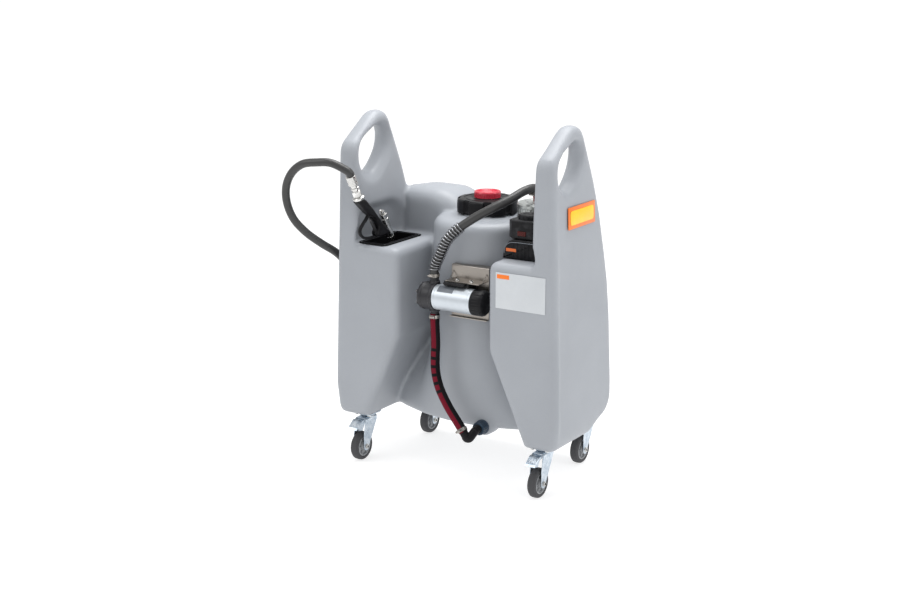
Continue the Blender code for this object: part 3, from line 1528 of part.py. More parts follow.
def casters(zinc, rubber, grey, dark):
    """Four swivel casters, the front two with brake pedals."""
    meshes, crown_low = caster_meshes()
    finishes = {"plate": zinc, "fork": zinc, "tyre": rubber, "hub": grey, "axle": dark}
    for corner, (x, y) in {
        "front_left": (-CASTER_FRONT[0], CASTER_FRONT[1]),
        "front_right": CASTER_FRONT,
        "rear_left": (-CASTER_REAR[0], CASTER_REAR[1]),
        "rear_right": CASTER_REAR,
    }.items():
        for part, mesh in meshes.items():
            origin = (x, y, 0) if part in ("plate", "fork") else (x, y - TRAIL, WHEEL_RADIUS)
            piece(f"caster_{corner}_{part}", mesh.copy(), finishes[part], origin, local=True)
        if corner.startswith("front"):
            hinge = (x, y - TRAIL - 0.002, crown_low - 0.003)
            piece(f"caster_{corner}_brake_pedal", brake_pedal(crown_low), zinc, hinge, local=True)


def build():
    """Clears the scene and builds the trolley."""
    for obj in list(bpy.data.objects):
        bpy.data.objects.remove(obj)
    grey_plastic = finish("grey_plastic", (0.45, 0.47, 0.49), 0.5)
    black_plastic = finish("black_plastic", (0.02, 0.02, 0.022), 0.45)
    red_plastic = finish("red_plastic", (0.75, 0.03, 0.04), 0.4)
    red_brown = finish("red_brown_plastic", (0.30, 0.05, 0.04), 0.45)
    blue_plastic = finish("blue_plastic", (0.05, 0.10, 0.16), 0.45)
    grey_lever = finish("grey_lever", (0.35, 0.36, 0.37), 0.4)
    seal = finish("seal_rubber", (0.03, 0.03, 0.03), 0.8)
    hose_rubber = finish("hose_rubber", (0.03, 0.03, 0.032), 0.6)
    suction_rubber = finish("suction_rubber", (0.05, 0.02, 0.025), 0.6)
    guard_plastic = finish("guard_plastic", (0.04, 0.04, 0.045), 0.5)
    cast = finish("cast_metal", (0.09, 0.09, 0.10), 0.5, 0.4)
    bright = finish("bright_metal", (0.75, 0.75, 0.76), 0.25, 1.0)
    motor = finish("motor_can", (0.80, 0.81, 0.83), 0.3, 0.7)
    stainless = finish("stainless_sheet", (0.70, 0.69, 0.67), 0.3, 1.0)
    zinc = finish("zinc_plate", (0.62, 0.64, 0.66), 0.35, 0.9)
    dark_steel = finish("dark_steel", (0.30, 0.30, 0.31), 0.4, 0.9)
    tyre_rubber = finish("tyre_rubber", (0.05, 0.05, 0.055), 0.7)
    hub_grey = finish("hub_grey", (0.40, 0.41, 0.42), 0.5)
    white = finish("label_white", (0.80, 0.81, 0.82), 0.5)
    orange = finish("sign_orange", (0.90, 0.25, 0.02), 0.45)
    yellow = finish("sign_yellow", (0.95, 0.65, 0.05), 0.45)

    tank_shell(grey_plastic)
    filler(black_plastic, red_plastic, seal)
    nozzle_holder(black_plastic)
    outlet(blue_plastic, black_plastic)
    hoses(suction_rubber, hose_rubber, guard_plastic, bright)
    pump(cast, motor, black_plastic, stainless)
    flow_head(bright, red_brown, black_plastic)
    nozzle(black_plastic, grey_lever, bright, dark_steel)
    delivery_hose(hose_rubber)
    battery(black_plastic, red_plastic)
    plates(white, orange, yellow)
    casters(zinc, tyre_rubber, hub_grey, dark_steel)


build()
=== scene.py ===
"""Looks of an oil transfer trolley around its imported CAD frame: a moulded grey tank with two handle towers,
pump, hoses, flow head, hand nozzle, battery and four swivel casters. Metres, +Z up, front towards -Y."""

import itertools
import logging
import math
from dataclasses import dataclass, field
from enum import Enum

import bmesh
import bpy
import numpy as np
from mathutils import Matrix, Vector


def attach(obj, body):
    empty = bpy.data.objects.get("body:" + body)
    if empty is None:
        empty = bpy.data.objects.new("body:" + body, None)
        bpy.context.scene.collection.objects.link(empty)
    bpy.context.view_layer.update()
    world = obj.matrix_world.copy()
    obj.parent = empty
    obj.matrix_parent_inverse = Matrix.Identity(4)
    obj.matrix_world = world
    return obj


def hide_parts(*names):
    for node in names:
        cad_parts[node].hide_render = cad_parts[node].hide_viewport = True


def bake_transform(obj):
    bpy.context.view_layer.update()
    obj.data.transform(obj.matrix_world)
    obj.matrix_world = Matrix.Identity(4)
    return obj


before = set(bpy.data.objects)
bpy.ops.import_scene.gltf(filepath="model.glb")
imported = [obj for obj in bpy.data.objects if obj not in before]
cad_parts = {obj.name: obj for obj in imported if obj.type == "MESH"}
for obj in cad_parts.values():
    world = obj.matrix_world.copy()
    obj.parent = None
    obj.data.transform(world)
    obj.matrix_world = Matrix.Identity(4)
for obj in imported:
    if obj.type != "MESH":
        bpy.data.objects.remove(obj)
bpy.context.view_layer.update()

log = logging.getLogger("trolley")
Array = np.ndarray
Colour = tuple[float, float, float]

GAP = 0.0003  # between pieces that touch
TANK_FRONT = -0.178
UNDERSIDE = 0.134
LEDGE = 0.622
DRUM_TOP = 0.6925
DRUM_CENTRE = 0.058
DRAFT = 0.0365  # lean of the towers' faces
OUTLET = (0.077, 0.141)  # x and z of the tank fitting
ELBOW_CORNER = np.array((0.0670, -0.1500, 0.1170))
ELBOW_FOOT = np.array((0.0525, -0.1490, 0.1370))  # where the suction hose ends
PUMP_HEIGHT = 0.500
PORTS = (-0.046, -0.137)  # x and y of the pump's two ports
PORT_REACH = 0.0485  # from the motor's axis to a port's mouth
FLOW_HEAD = (0.160, 0.050)
FLOW_HEAD_TOP = 0.747
STUB_LEAN = np.array((0.0, -0.45, 0.89)) / np.hypot(0.45, 0.89)
SWIVEL_LEAN = np.array((-0.106, -0.397, 0.911)) / math.sqrt(0.998766)


@dataclass
class Shape:
    """Closed surfaces as points and faces. A mark is three numbers on each point, which a material may read."""

    points: Array
    faces: list[list[int]]
    marks: Array | None = None

    def moved(self, place: Array) -> "Shape":
        """The shape carried by a 4x4 place."""
        return Shape(self.points @ place[:3, :3].T + place[:3, 3], self.faces, self.marks)

    def shifted(self, x: float = 0.0, y: float = 0.0, z: float = 0.0) -> "Shape":
        """The shape moved straight by a distance along each axis."""
        return Shape(self.points + (x, y, z), self.faces, self.marks)

    def mirrored(self) -> "Shape":
        """The shape reflected in the middle plane."""
        return Shape(self.points * (-1, 1, 1), [face[::-1] for face in self.faces], self.marks)

    def mesh(self, name: str) -> bpy.types.Mesh:
        """The shape as a mesh, its seams and poles merged and its faces outwards.

        Args:
            name: the mesh's name.
        Returns:
            The mesh, with the marks as a point attribute where the shape has them.
        """
        mesh = bpy.data.meshes.new(name)
        mesh.from_pydata(self.points.tolist(), [], self.faces)
        if self.marks is not None:
            layer = mesh.attributes.new("lay", "FLOAT_VECTOR", "POINT")
            layer.data.foreach_set("vector", self.marks.astype(np.float32).ravel())
        work = bmesh.new()
        work.from_mesh(mesh)
        bmesh.ops.remove_doubles(work, verts=work.verts, dist=1e-6)
        bmesh.ops.recalc_face_normals(work, faces=work.faces)
        work.to_mesh(mesh)
        work.free()
        return mesh


def joined(*shapes: Shape) -> Shape:
    """Several shapes as one, the faces of each counted on from the points before it."""
    starts = np.cumsum([0] + [len(shape.points) for shape in shapes])
    faces = [[int(start) + k for k in face] for start, shape in zip(starts, shapes) for face in shape.faces]
    marks = None
    if all(shape.marks is not None for shape in shapes):
        marks = np.vstack([shape.marks for shape in shapes])
    return Shape(np.vstack([shape.points for shape in shapes]), faces, marks)


def surface(rows: Array, looped: bool = False, marks: Array | None = None) -> Shape:
    """A closed surface over a grid: face (i, j) joins points (i, j), (i, j+1), (i+1, j+1) and (i+1, j).

    Args:
        rows: points of shape (rows, columns, 3), the columns wrapping round.
        looped: the rows wrap round too; otherwise the first and last row are filled flat.
        marks: marks of the same shape as rows.
    Returns:
        The surface.
    """
    count, sides = rows.shape[:2]
    index = np.arange(count * sides).reshape(count, sides)
    ahead = np.roll(index, -1, axis=0)
    quads = np.stack([index, np.roll(index, -1, 1), np.roll(ahead, -1, 1), ahead], axis=-1)
    quads = quads if looped else quads[:-1]
    faces = quads.reshape(-1, 4).tolist()
    if not looped:
        for row, turn in ((0, -1), (-1, 1)):
            if np.ptp(rows[row], axis=0).max() > 1e-7:
                faces.append(index[row][::turn].tolist())
    return Shape(rows.reshape(-1, 3), faces, None if marks is None else marks.reshape(-1, 3))


def frame_at(place: Array, direction: Array, side: Array = (1.0, 0.0, 0.0)) -> Array:
    """A 4x4 place whose Z points in a direction and whose X is the part of side square to it.

    Args:
        place: the point that it puts the middle on.
        direction: of its Z.
        side: of its X.
    Returns:
        The place.
    """
    z = np.asarray(direction, float) / np.linalg.norm(direction)
    x = np.asarray(side, float) - z * np.dot(side, z)
    if np.linalg.norm(x) < 0.2:
        x = np.array([0.0, 1.0, 0.0]) - z * z[1]
    x = x / np.linalg.norm(x)
    result = np.eye(4)
    result[:3, :3] = np.stack([x, np.cross(z, x), z], axis=1)
    result[:3, 3] = place
    return result


def around(count: int) -> Array:
    """Even angles once round, in radians."""
    return np.linspace(0, 2 * math.pi, count, endpoint=False)


def fluted(profile: Array, wave: Array, place: Array | None = None, looped: bool = False) -> Shape:
    """A profile turned round Z: at angle a its point is (r cos a, r sin a, z), r less its depth times the wave.

    Args:
        profile: rows of (radius, height, depth).
        wave: the flutes, one number for each angle.
        place: where the shape goes.
        looped: the profile is closed.
    Returns:
        The turned shape.
    """
    radius, height, depth = np.asarray(profile, float).T[:, :, None]
    angle = around(len(wave))[None, :]
    reach = radius - depth * wave[None, :]
    rows = np.stack([reach * np.cos(angle), reach * np.sin(angle), height + 0 * angle], axis=-1)
    shape = surface(rows, looped)
    return shape if place is None else shape.moved(place)


def revolved(profile: Array, place: Array | None = None, sides: int = 48, looped: bool = False) -> Shape:
    """As fluted, without flutes: rows of (radius, height)."""
    return fluted([(*point, 0.0) for point in profile], np.zeros(sides), place, looped)


def softened(profile: Array, radius: float | Array, steps: int = 4, closed: bool = False) -> Array:
    """A chain of points with each corner c drawn as a curve: at t it is (1-t)^2 a + 2t(1-t) c + t^2 b.

    Args:
        profile: the corners, two or three numbers each.
        radius: radius of the round, one for all corners or one for each.
        steps: points on each round.
        closed: the chain is an outline.
    Returns:
        The points. a and b lie on the two edges, a setback of radius / tan(half the corner's angle) away.
    """
    pts = np.asarray(profile, float)
    before, after = np.roll(pts, 1, axis=0) - pts, np.roll(pts, -1, axis=0) - pts
    reach_b = np.maximum(np.linalg.norm(before, axis=1), 1e-9)
    reach_a = np.maximum(np.linalg.norm(after, axis=1), 1e-9)
    cosine = np.sum(before * after, axis=1) / reach_b / reach_a
    half = np.arccos(np.clip(cosine, -1, 1)) / 2
    setback = np.broadcast_to(radius, len(pts)) / np.maximum(np.tan(half), 0.05)
    setback = np.minimum(setback, 0.49 * np.minimum(reach_b, reach_a))[:, None]
    start = pts + before / reach_b[:, None] * setback
    end = pts + after / reach_a[:, None] * setback
    t = np.linspace(0, 1, steps)[None, :, None]
    curve = (1 - t) ** 2 * start[:, None] + 2 * t * (1 - t) * pts[:, None] + t**2 * end[:, None]
    if closed:
        return curve.reshape(-1, pts.shape[1])
    return np.vstack([pts[:1], curve[1:-1].reshape(-1, pts.shape[1]), pts[-1:]])


def inset(outline: Array, distance: float) -> Array:
    """The outline moved inwards: each corner goes along its mitre until both edges have moved the distance.

    Args:
        outline: the corners, two numbers each.
        distance: how far the edges move, or outwards where it is below 0.
    Returns:
        The corners.
    """
    pts = np.asarray(outline, float)
    before, after = pts - np.roll(pts, 1, axis=0), np.roll(pts, -1, axis=0) - pts
    area = np.sum(pts[:, 0] * np.roll(pts[:, 1], -1) - pts[:, 1] * np.roll(pts[:, 0], -1))
    side = 1.0 if area > 0 else -1.0
    first, second = (
        side * np.stack([-e[:, 1], e[:, 0]], 1) / np.maximum(np.linalg.norm(e, axis=1, keepdims=True), 1e-9)
        for e in (before, after)
    )
    middle = first + second
    return pts + middle / np.maximum(np.sum(middle * first, axis=1, keepdims=True), 0.35) * distance


class Plane(Enum):
    """The plane that a flat outline lies in, as the places of its two numbers and of the height."""

    XY = (0, 1, 2)
    XZ = (0, 2, 1)
    YZ = (1, 2, 0)

    def laid(self, outline: Array, height: float | Array) -> Array:
        """The outline's points in space, at a height along the plane's normal."""
        points = np.zeros((len(outline), 3))
        points[:, self.value[0]], points[:, self.value[1]] = np.asarray(outline, float).T
        points[:, self.value[2]] = height
        return points


def prism(outline: Array, plane: Plane, low: float, high: float, edge: float = 0.0, steps: int = 4) -> Shape:
    """An outline carried from low to high, its rims drawn in by edge (1 - sin a) and down by edge (1 - cos a).

    Args:
        outline: the corners, two numbers each.
        plane: the plane that they lie in.
        low: height of the first end along the plane's normal.
        high: height of the other end.
        edge: radius of the rims, or 0 for sharp ones.
        steps: points on each rim.
    Returns:
        The solid shape.
    """
    angle = np.linspace(0, math.pi / 2, steps + 1) if edge > 0 else np.array([math.pi / 2])
    pull, drop = edge * (1 - np.sin(angle)), edge * (1 - np.cos(angle))
    rows = [plane.laid(inset(outline, p), low + d) for p, d in zip(pull, drop)]
    rows += [plane.laid(inset(outline, p), high - d) for p, d in zip(pull[::-1], drop[::-1])]
    return surface(np.stack(rows))


def rectangle(u: tuple[float, float], v: tuple[float, float], radius: float = 0.0, steps: int = 5) -> Array:
    """The outline of a rectangle with round corners."""
    corners = np.array([(u[0], v[0]), (u[1], v[0]), (u[1], v[1]), (u[0], v[1])], float)
    return softened(corners, radius, steps, closed=True) if radius > 0 else corners


def box(x: tuple, y: tuple, z: tuple, edge: float = 0.0, steps: int = 3) -> Shape:
    """A box between two corners, its upright edges and rims rounded."""
    return prism(rectangle(x, y, edge, steps + 2), Plane.XY, z[0], z[1], edge, steps)


def rod(radius: float, start: Array, end: Array, edge: float = 0.0, sides: int = 32) -> Shape:
    """A round bar between two points, with its rims broken by a small edge."""
    length = float(np.linalg.norm(np.subtract(end, start)))
    profile = [(0, 0), (radius - edge, 0), (radius, edge), (radius, length - edge), (radius - edge, length)]
    return revolved([*profile, (0, length)], frame_at(start, np.subtract(end, start)), sides)


def distances(path: Array) -> Array:
    """The way along a path to each of its points."""
    return np.concatenate([[0], np.cumsum(np.linalg.norm(np.diff(path, axis=0), axis=1))])


def sampled(wanted: Array, along: Array, values: Array) -> Array:
    """Points between the values at the wanted ways along."""
    return np.stack([np.interp(wanted, along, values[:, k]) for k in range(3)], axis=1)


def smooth_route(points: Array, step: float) -> Array:
    """Points at an even step along the Catmull-Rom curve through the route's own points.

    Args:
        points: the route.
        step: the distance between the new points, about.
    Returns:
        The new points. Between b and c, with a before and d after, the curve at t is half of
        2b + (c - a) t + (2a - 5b + 4c - d) t^2 + (3b - a - 3c + d) t^3.
    """
    pts = np.asarray(points, float)
    padded = np.vstack([2 * pts[0] - pts[1], pts, 2 * pts[-1] - pts[-2]])
    p0, p1, p2, p3 = (padded[k : len(padded) - 3 + k][:, None] for k in range(4))
    t = np.linspace(0, 1, 24, endpoint=False)[None, :, None]
    fine = 2 * p1 + (p2 - p0) * t + (2 * p0 - 5 * p1 + 4 * p2 - p3) * t**2 + (3 * p1 - p0 - 3 * p2 + p3) * t**3
    fine = np.vstack([0.5 * fine.reshape(-1, 3), pts[-1:]])
    along = distances(fine)
    return sampled(np.linspace(0, along[-1], max(2, round(along[-1] / step) + 1)), along, fine)


def across(path: Array, first: Array) -> tuple[Array, Array]:
    """Two unit vectors square to the path at each of its points, carried on from the first without twist.

    Args:
        path: the points.
        first: the side that the first vector starts on.
    Returns:
        The first vectors and the second.
    """
    heading = np.gradient(path, axis=0)
    heading /= np.linalg.norm(heading, axis=1, keepdims=True)

    def carried(side: Array, ahead: Array) -> Array:
        """The side less its part along the new heading, at unit length."""
        side = side - ahead * np.dot(side, ahead)
        return side / np.linalg.norm(side)

    start = carried(np.asarray(first, float), heading[0])
    side = np.array(list(itertools.accumulate(heading[1:], carried, initial=start)))
    return side, np.cross(heading, side)


def swept(path: Array, radius: float | Array, sides: int = 20, first: Array = (0.0, -1.0, 0.0)) -> Shape:
    """A round tube along a path: centre + r (side cos a + other sin a).

    Args:
        path: the tube's middle.
        radius: of the tube, one or one for each point.
        sides: points round it.
        first: the side that angle 0 starts on.
    Returns:
        The tube. Its marks are (distance along, cos a, sin a).
    """
    path = np.asarray(path, float)
    side, other = across(path, first)
    angle = around(sides)[None, :, None]
    reach = np.broadcast_to(radius, len(path))[:, None, None]
    rows = path[:, None] + reach * (side[:, None] * np.cos(angle) + other[:, None] * np.sin(angle))
    spread = np.broadcast_to(distances(path)[:, None], (len(path), sides))
    marks = np.stack([spread, np.cos(angle[..., 0]) + 0 * spread, np.sin(angle[..., 0]) + 0 * spread], -1)
    return surface(rows, marks=marks)


def strip(path: Array, width: tuple[Array, Array], thickness: float, plane: Plane) -> Shape:
    """A bent sheet: a centre line in a plane, half a thickness to each side, from one width to the other.

    Args:
        path: points of the centre line, two numbers each.
        width: lower and upper bound along the plane's normal, one number or one for each point.
        thickness: of the sheet.
        plane: the plane of the centre line.
    Returns:
        The sheet, with small chamfers on its long edges.
    """
    path = np.asarray(path, float)
    along = np.gradient(path, axis=0)
    normal = np.stack([-along[:, 1], along[:, 0]], 1) / np.linalg.norm(along, axis=1, keepdims=True)
    low, high = (np.broadcast_to(side, len(path)).astype(float) for side in width)
    half, cut = thickness / 2, thickness * 0.22
    ring = [(-half, cut), (-half + cut, 0), (half - cut, 0), (half, cut)]
    columns = [plane.laid(path + normal * n, low + k) for n, k in ring]
    columns += [plane.laid(path + normal * n, high - k) for n, k in reversed(ring)]
    return surface(np.stack(columns, axis=1))


def hexagon(radius: float) -> Array:
    """A hexagon by the radius of its corners."""
    angle = np.radians(np.arange(0, 360, 60))
    return radius * np.stack([np.cos(angle), np.sin(angle)], axis=1)


def bolt(place: Array, direction: Array, radius: float = 0.0055, height: float = 0.0045) -> Shape:
    """A hexagon head with its washer, standing on its seat."""
    washer = revolved([(0, 0), (radius * 1.18, 0), (radius * 1.18, 0.0007), (radius * 1.1, 0.001), (0, 0.001)])
    head = prism(hexagon(radius), Plane.XY, 0.0009, height, 0.0006, 2)
    dome = revolved([(0, height - 0.001), (radius * 0.62, height - 0.001), (radius * 0.56, height), (0, height)])
    return joined(washer, head, dome).moved(frame_at(place, direction))


def screw(place: Array, direction: Array, radius: float = 0.0035, height: float = 0.002) -> Shape:
    """A round socket head: outside up to the rim, then down into the socket."""
    profile = [(0, 0), (radius, 0), (radius, height * 0.8), (radius * 0.85, height), (radius * 0.45, height)]
    return revolved([*profile, (radius * 0.4, height * 0.35), (0, height * 0.35)], frame_at(place, direction), 20)


def placed(name: str, data: bpy.types.ID) -> bpy.types.Object:
    """A new object in the scene."""
    obj = bpy.data.objects.new(name, data)
    bpy.context.scene.collection.objects.link(obj)
    return obj


def worked(base: bpy.types.Mesh, cuts: tuple = (), voxel: float = 0.0, rounds: int = 0) -> bpy.types.Mesh:
    """A mesh less some cuts, then skinned over at an even grain and smoothed.

    Args:
        base: the mesh to start from.
        cuts: meshes to take away.
        voxel: grain of the new skin, or 0 to leave the mesh's own faces.
        rounds: how often each point moves half way to the middle of its neighbours.
    Returns:
        A new mesh.
    """
    tools = [placed("tool", mesh) for mesh in (base, *cuts)]
    for tool in tools[1:]:
        step = tools[0].modifiers.new("cut", "BOOLEAN")
        step.operation, step.solver, step.object = "DIFFERENCE", "EXACT", tool
    if voxel > 0:
        skin = tools[0].modifiers.new("skin", "REMESH")
        skin.mode, skin.voxel_size = "VOXEL", voxel
    if rounds > 0:
        soft = tools[0].modifiers.new("soft", "SMOOTH")
        soft.factor, soft.iterations = 0.5, rounds
    graph = bpy.context.evaluated_depsgraph_get()
    mesh = bpy.data.meshes.new_from_object(tools[0].evaluated_get(graph))
    for tool in tools:
        bpy.data.objects.remove(tool)
    return mesh


def fused(shapes: list[Shape], voxel: float, rounds: int, cuts: tuple = ()) -> bpy.types.Mesh:
    """Overlapping shapes under one smooth skin, less some cuts.

    Args:
        shapes: the overlapping shapes.
        voxel: grain of the skin.
        rounds: of smoothing, as in worked.
        cuts: shapes to take away from the skin.
    Returns:
        A new mesh.
    """
    skin = worked(joined(*shapes).mesh("blank"), (), voxel, rounds)
    return worked(skin, tuple(cut.mesh("cut") for cut in cuts)) if cuts else skin


class Bench:
    """A Principled material while its nodes are wired."""

    def __init__(self, name: str) -> None:
        """Starts a material with its object coordinates at hand."""
        self.material = bpy.data.materials.new(name)
        self.material.use_nodes = True
        self.tree = self.material.node_tree
        self.shader = self.tree.nodes["Principled BSDF"]
        self.coords = self.tree.nodes.new("ShaderNodeTexCoord").outputs["Object"]

    def node(self, kind: str, inputs: dict, **settings: object) -> bpy.types.Node:
        """A node with its settings, and its inputs wired where they are sockets."""
        made = self.tree.nodes.new(kind)
        for key, value in settings.items():
            setattr(made, key, value)
        for key, value in inputs.items():
            if isinstance(value, bpy.types.NodeSocket):
                self.tree.links.new(value, made.inputs[key])
            else:
                made.inputs[key].default_value = value
        return made

    def stretched(self, stretch: Colour) -> bpy.types.NodeSocket:
        """The object coordinates, each times its own factor."""
        if stretch == (1.0, 1.0, 1.0):
            return self.coords
        inputs = {"Vector": self.coords, "Scale": stretch}
        return self.node("ShaderNodeMapping", inputs).outputs["Vector"]

    def noise(self, scale: float, detail: float = 3.0, stretch: Colour = (1.0, 1.0, 1.0)) -> bpy.types.NodeSocket:
        """A noise value of about 0.5, with a scale in waves a metre."""
        inputs = {"Vector": self.stretched(stretch), "Scale": scale, "Detail": detail, "Roughness": 0.55}
        return self.node("ShaderNodeTexNoise", inputs).outputs["Fac"]

    def ranged(self, value: bpy.types.NodeSocket, span: tuple, result: tuple = (0.0, 1.0)) -> bpy.types.NodeSocket:
        """The value with span stretched to result, and clamped."""
        inputs = {"Value": value, "From Min": span[0], "From Max": span[1], "To Min": result[0]}
        return self.node("ShaderNodeMapRange", inputs | {"To Max": result[1]}).outputs["Result"]

    def maths(self, operation: str, *values: object) -> bpy.types.NodeSocket:
        """One arithmetic step on sockets or numbers."""
        return self.node("ShaderNodeMath", dict(enumerate(values)), operation=operation).outputs[0]

    def mixed(self, share: object, first: object, second: object) -> bpy.types.NodeSocket:
        """The first colour, going over to the second as the share rises."""
        first, second = ((*c, 1.0) if isinstance(c, tuple) else c for c in (first, second))
        return self.node("ShaderNodeMix", {0: share, 6: first, 7: second}, data_type="RGBA").outputs[2]

    def marks(self) -> tuple:
        """Distance along a tube, and the cosine and sine of the angle round it."""
        lay = self.node("ShaderNodeAttribute", {}, attribute_name="lay").outputs["Vector"]
        parts = self.node("ShaderNodeSeparateXYZ", {"Vector": lay}).outputs
        return parts["X"], parts["Y"], parts["Z"]

    def relief(self, height: bpy.types.NodeSocket, depth: float, strength: float) -> None:
        """Bump of a depth in metres on the shader's normal."""
        inputs = {"Height": height, "Distance": depth, "Strength": strength}
        bump = self.node("ShaderNodeBump", inputs).outputs["Normal"]
        self.tree.links.new(bump, self.shader.inputs["Normal"])

    def wire(self, **sockets: bpy.types.NodeSocket) -> None:
        """Links sockets to the shader's inputs, an underscore standing for a space."""
        for key, socket in sockets.items():
            self.tree.links.new(socket, self.shader.inputs[key.replace("_", " ")])


class Grain(Enum):
    """The small relief of a surface: how its height is worked out, and how far it stretches along each axis."""

    MOULDED = ("noise", (1.0, 1.0, 1.0))
    PEBBLED = ("cells", (1.0, 1.0, 1.0))
    BRUSHED = ("noise", (0.04, 1.0, 1.0))


@dataclass(frozen=True)
class Finish:
    """One finish: a clouded colour, a gloss that varies with it, a small grain, and wear on the edges."""

    name: str
    slot: str
    colour: Colour
    cloud: Colour
    roughness: tuple[float, float]
    metallic: float = 0.0
    grain: Grain = Grain.MOULDED
    cloud_scale: float = 9.0
    grain_scale: float = 900.0
    depth: float = 0.0001
    strength: float = 0.25
    worn: Colour | None = None
    coat: float = 0.0
    dust: float = 0.0
    specular: float = 0.5

    def colours(self, bench: Bench) -> bpy.types.NodeSocket:
        """The base colour: two shades in soft clouds, with fine specks."""
        cloud = bench.ranged(bench.noise(self.cloud_scale, 5.0), (0.36, 0.64))
        specks = bench.ranged(bench.noise(self.grain_scale * 0.4, 2.0), (0.3, 0.7), (0.0, 0.25))
        share = bench.maths("ADD", bench.maths("MULTIPLY", cloud, 0.8), specks)
        return bench.mixed(share, self.colour, self.cloud)

    def material(self) -> bpy.types.Material:
        """The finish as a material, made once and then shared."""
        if self.name in bpy.data.materials:
            return bpy.data.materials[self.name]
        bench = Bench(self.name)
        colour = self.colours(bench)
        kind, stretch = self.grain.value
        if kind == "cells":
            inputs = {"Vector": bench.coords, "Scale": self.grain_scale}
            height = bench.node("ShaderNodeTexVoronoi", inputs).outputs["Distance"]
        else:
            height = bench.noise(self.grain_scale, 4.0, stretch)
        if self.worn is not None:
            sharp = bench.node("ShaderNodeNewGeometry", {}).outputs["Pointiness"]
            edge = bench.ranged(sharp, (0.515, 0.60))
            patches = bench.ranged(bench.noise(60.0, 4.0), (0.42, 0.62))
            colour = bench.mixed(bench.maths("MULTIPLY", edge, patches), colour, self.worn)
        if self.dust > 0:
            up = bench.node("ShaderNodeSeparateXYZ", {"Vector": bench.coords}).outputs["Z"]
            low = bench.ranged(up, (0.17, 0.0), (0.0, self.dust))
            share = bench.maths("MULTIPLY", low, bench.noise(35.0, 5.0))
            colour = bench.mixed(share, colour, (0.42, 0.40, 0.37))
        bench.wire(Base_Color=colour)
        gloss = bench.noise(self.cloud_scale * 3.1, 4.0, stretch)
        bench.wire(Roughness=bench.ranged(gloss, (0.3, 0.7), self.roughness))
        bench.relief(height, self.depth, self.strength)
        bench.shader.inputs["Metallic"].default_value = self.metallic
        bench.shader.inputs["Specular IOR Level"].default_value = self.specular
        if self.coat > 0:
            bench.shader.inputs["Coat Weight"].default_value = self.coat
            bench.shader.inputs["Coat Roughness"].default_value = 0.12
        return bench.material


@dataclass(frozen=True)
class StripedHose(Finish):
    """Hose rubber with a coloured line along it, dashed over its middle."""

    stripe: Colour = (0.145, 0.009, 0.020)
    solid_until: float = 0.085
    solid_after: float = 0.235
    dash: float = 0.0235

    def colours(self, bench: Bench) -> bpy.types.NodeSocket:
        """Rubber, with the line where the angle is near its own and the dash pattern is on."""
        base = super().colours(bench)
        along, cosine, _ = bench.marks()
        line = bench.ranged(cosine, (0.76, 0.82))
        phase = bench.maths("FRACT", bench.maths("DIVIDE", along, self.dash))
        dashes = bench.ranged(phase, (0.34, 0.40))
        early = bench.ranged(along, (self.solid_until + 0.001, self.solid_until))
        late = bench.ranged(along, (self.solid_after, self.solid_after + 0.001))
        on = bench.maths("MAXIMUM", dashes, bench.maths("MAXIMUM", early, late))
        return bench.mixed(bench.maths("MULTIPLY", line, on), base, self.stripe)


TANK = Finish("grey_moulded_plastic", "tank_plastic", (0.335, 0.354, 0.384), (0.312, 0.330, 0.359),
              (0.42, 0.52), grain=Grain.PEBBLED, cloud_scale=5.0, grain_scale=420.0, depth=0.00025,
              strength=0.22, dust=0.25)
BLACK = Finish("black_moulded_plastic", "black_plastic", (0.0065, 0.0065, 0.0075), (0.011, 0.011, 0.0125),
               (0.30, 0.42), grain=Grain.PEBBLED, grain_scale=1100.0, strength=0.3, worn=(0.035, 0.035, 0.038),
               specular=0.14)
BLACK_SHEET = Finish("black_holder_plastic", "black_plastic", (0.0055, 0.0055, 0.006), (0.009, 0.009, 0.010),
                     (0.26, 0.40), grain_scale=700.0, strength=0.25, worn=(0.030, 0.030, 0.033), specular=0.05)
RED = Finish("red_vent_plastic", "red_plastic", (0.62, 0.028, 0.058), (0.54, 0.020, 0.045),
             (0.22, 0.34), grain_scale=600.0, coat=0.3)
TRIM_ORANGE = Finish("orange_trim_plastic", "red_plastic", (0.72, 0.15, 0.012), (0.60, 0.11, 0.010), (0.3, 0.42))
LATCH_RED = Finish("red_latch_plastic", "red_plastic", (0.085, 0.010, 0.008), (0.060, 0.008, 0.007), (0.3, 0.42),
                   specular=0.2)
RED_BROWN = Finish("red_brown_plastic", "red_brown_plastic", (0.16, 0.022, 0.020), (0.11, 0.015, 0.015),
                   (0.32, 0.45))
BLUE = Finish("dark_blue_plastic", "blue_plastic", (0.018, 0.040, 0.070), (0.012, 0.028, 0.050),
              (0.32, 0.45), worn=(0.06, 0.09, 0.13))
LEVER = Finish("dark_lever_plastic", "lever_plastic", (0.012, 0.012, 0.014), (0.022, 0.022, 0.024),
               (0.28, 0.4), worn=(0.12, 0.12, 0.12))
SUCTION = StripedHose("striped_hose_rubber", "suction_rubber", (0.0075, 0.007, 0.008), (0.013, 0.012, 0.0135),
                      (0.36, 0.50), grain_scale=1500.0, strength=0.2, specular=0.05)
HOSE = Finish("hose_rubber", "hose_rubber", (0.008, 0.008, 0.010), (0.013, 0.0125, 0.015), (0.30, 0.44),
              grain_scale=1300.0, strength=0.25, cloud_scale=30.0, specular=0.06)
GUARD = Finish("guard_spring_steel", "bright_metal", (0.36, 0.365, 0.38), (0.26, 0.265, 0.28), (0.22, 0.34),
               metallic=1.0, grain_scale=900.0, strength=0.1, cloud_scale=60.0)
SEAL = Finish("seal_rubber", "seal_rubber", (0.020, 0.020, 0.021), (0.03, 0.03, 0.03), (0.6, 0.75))
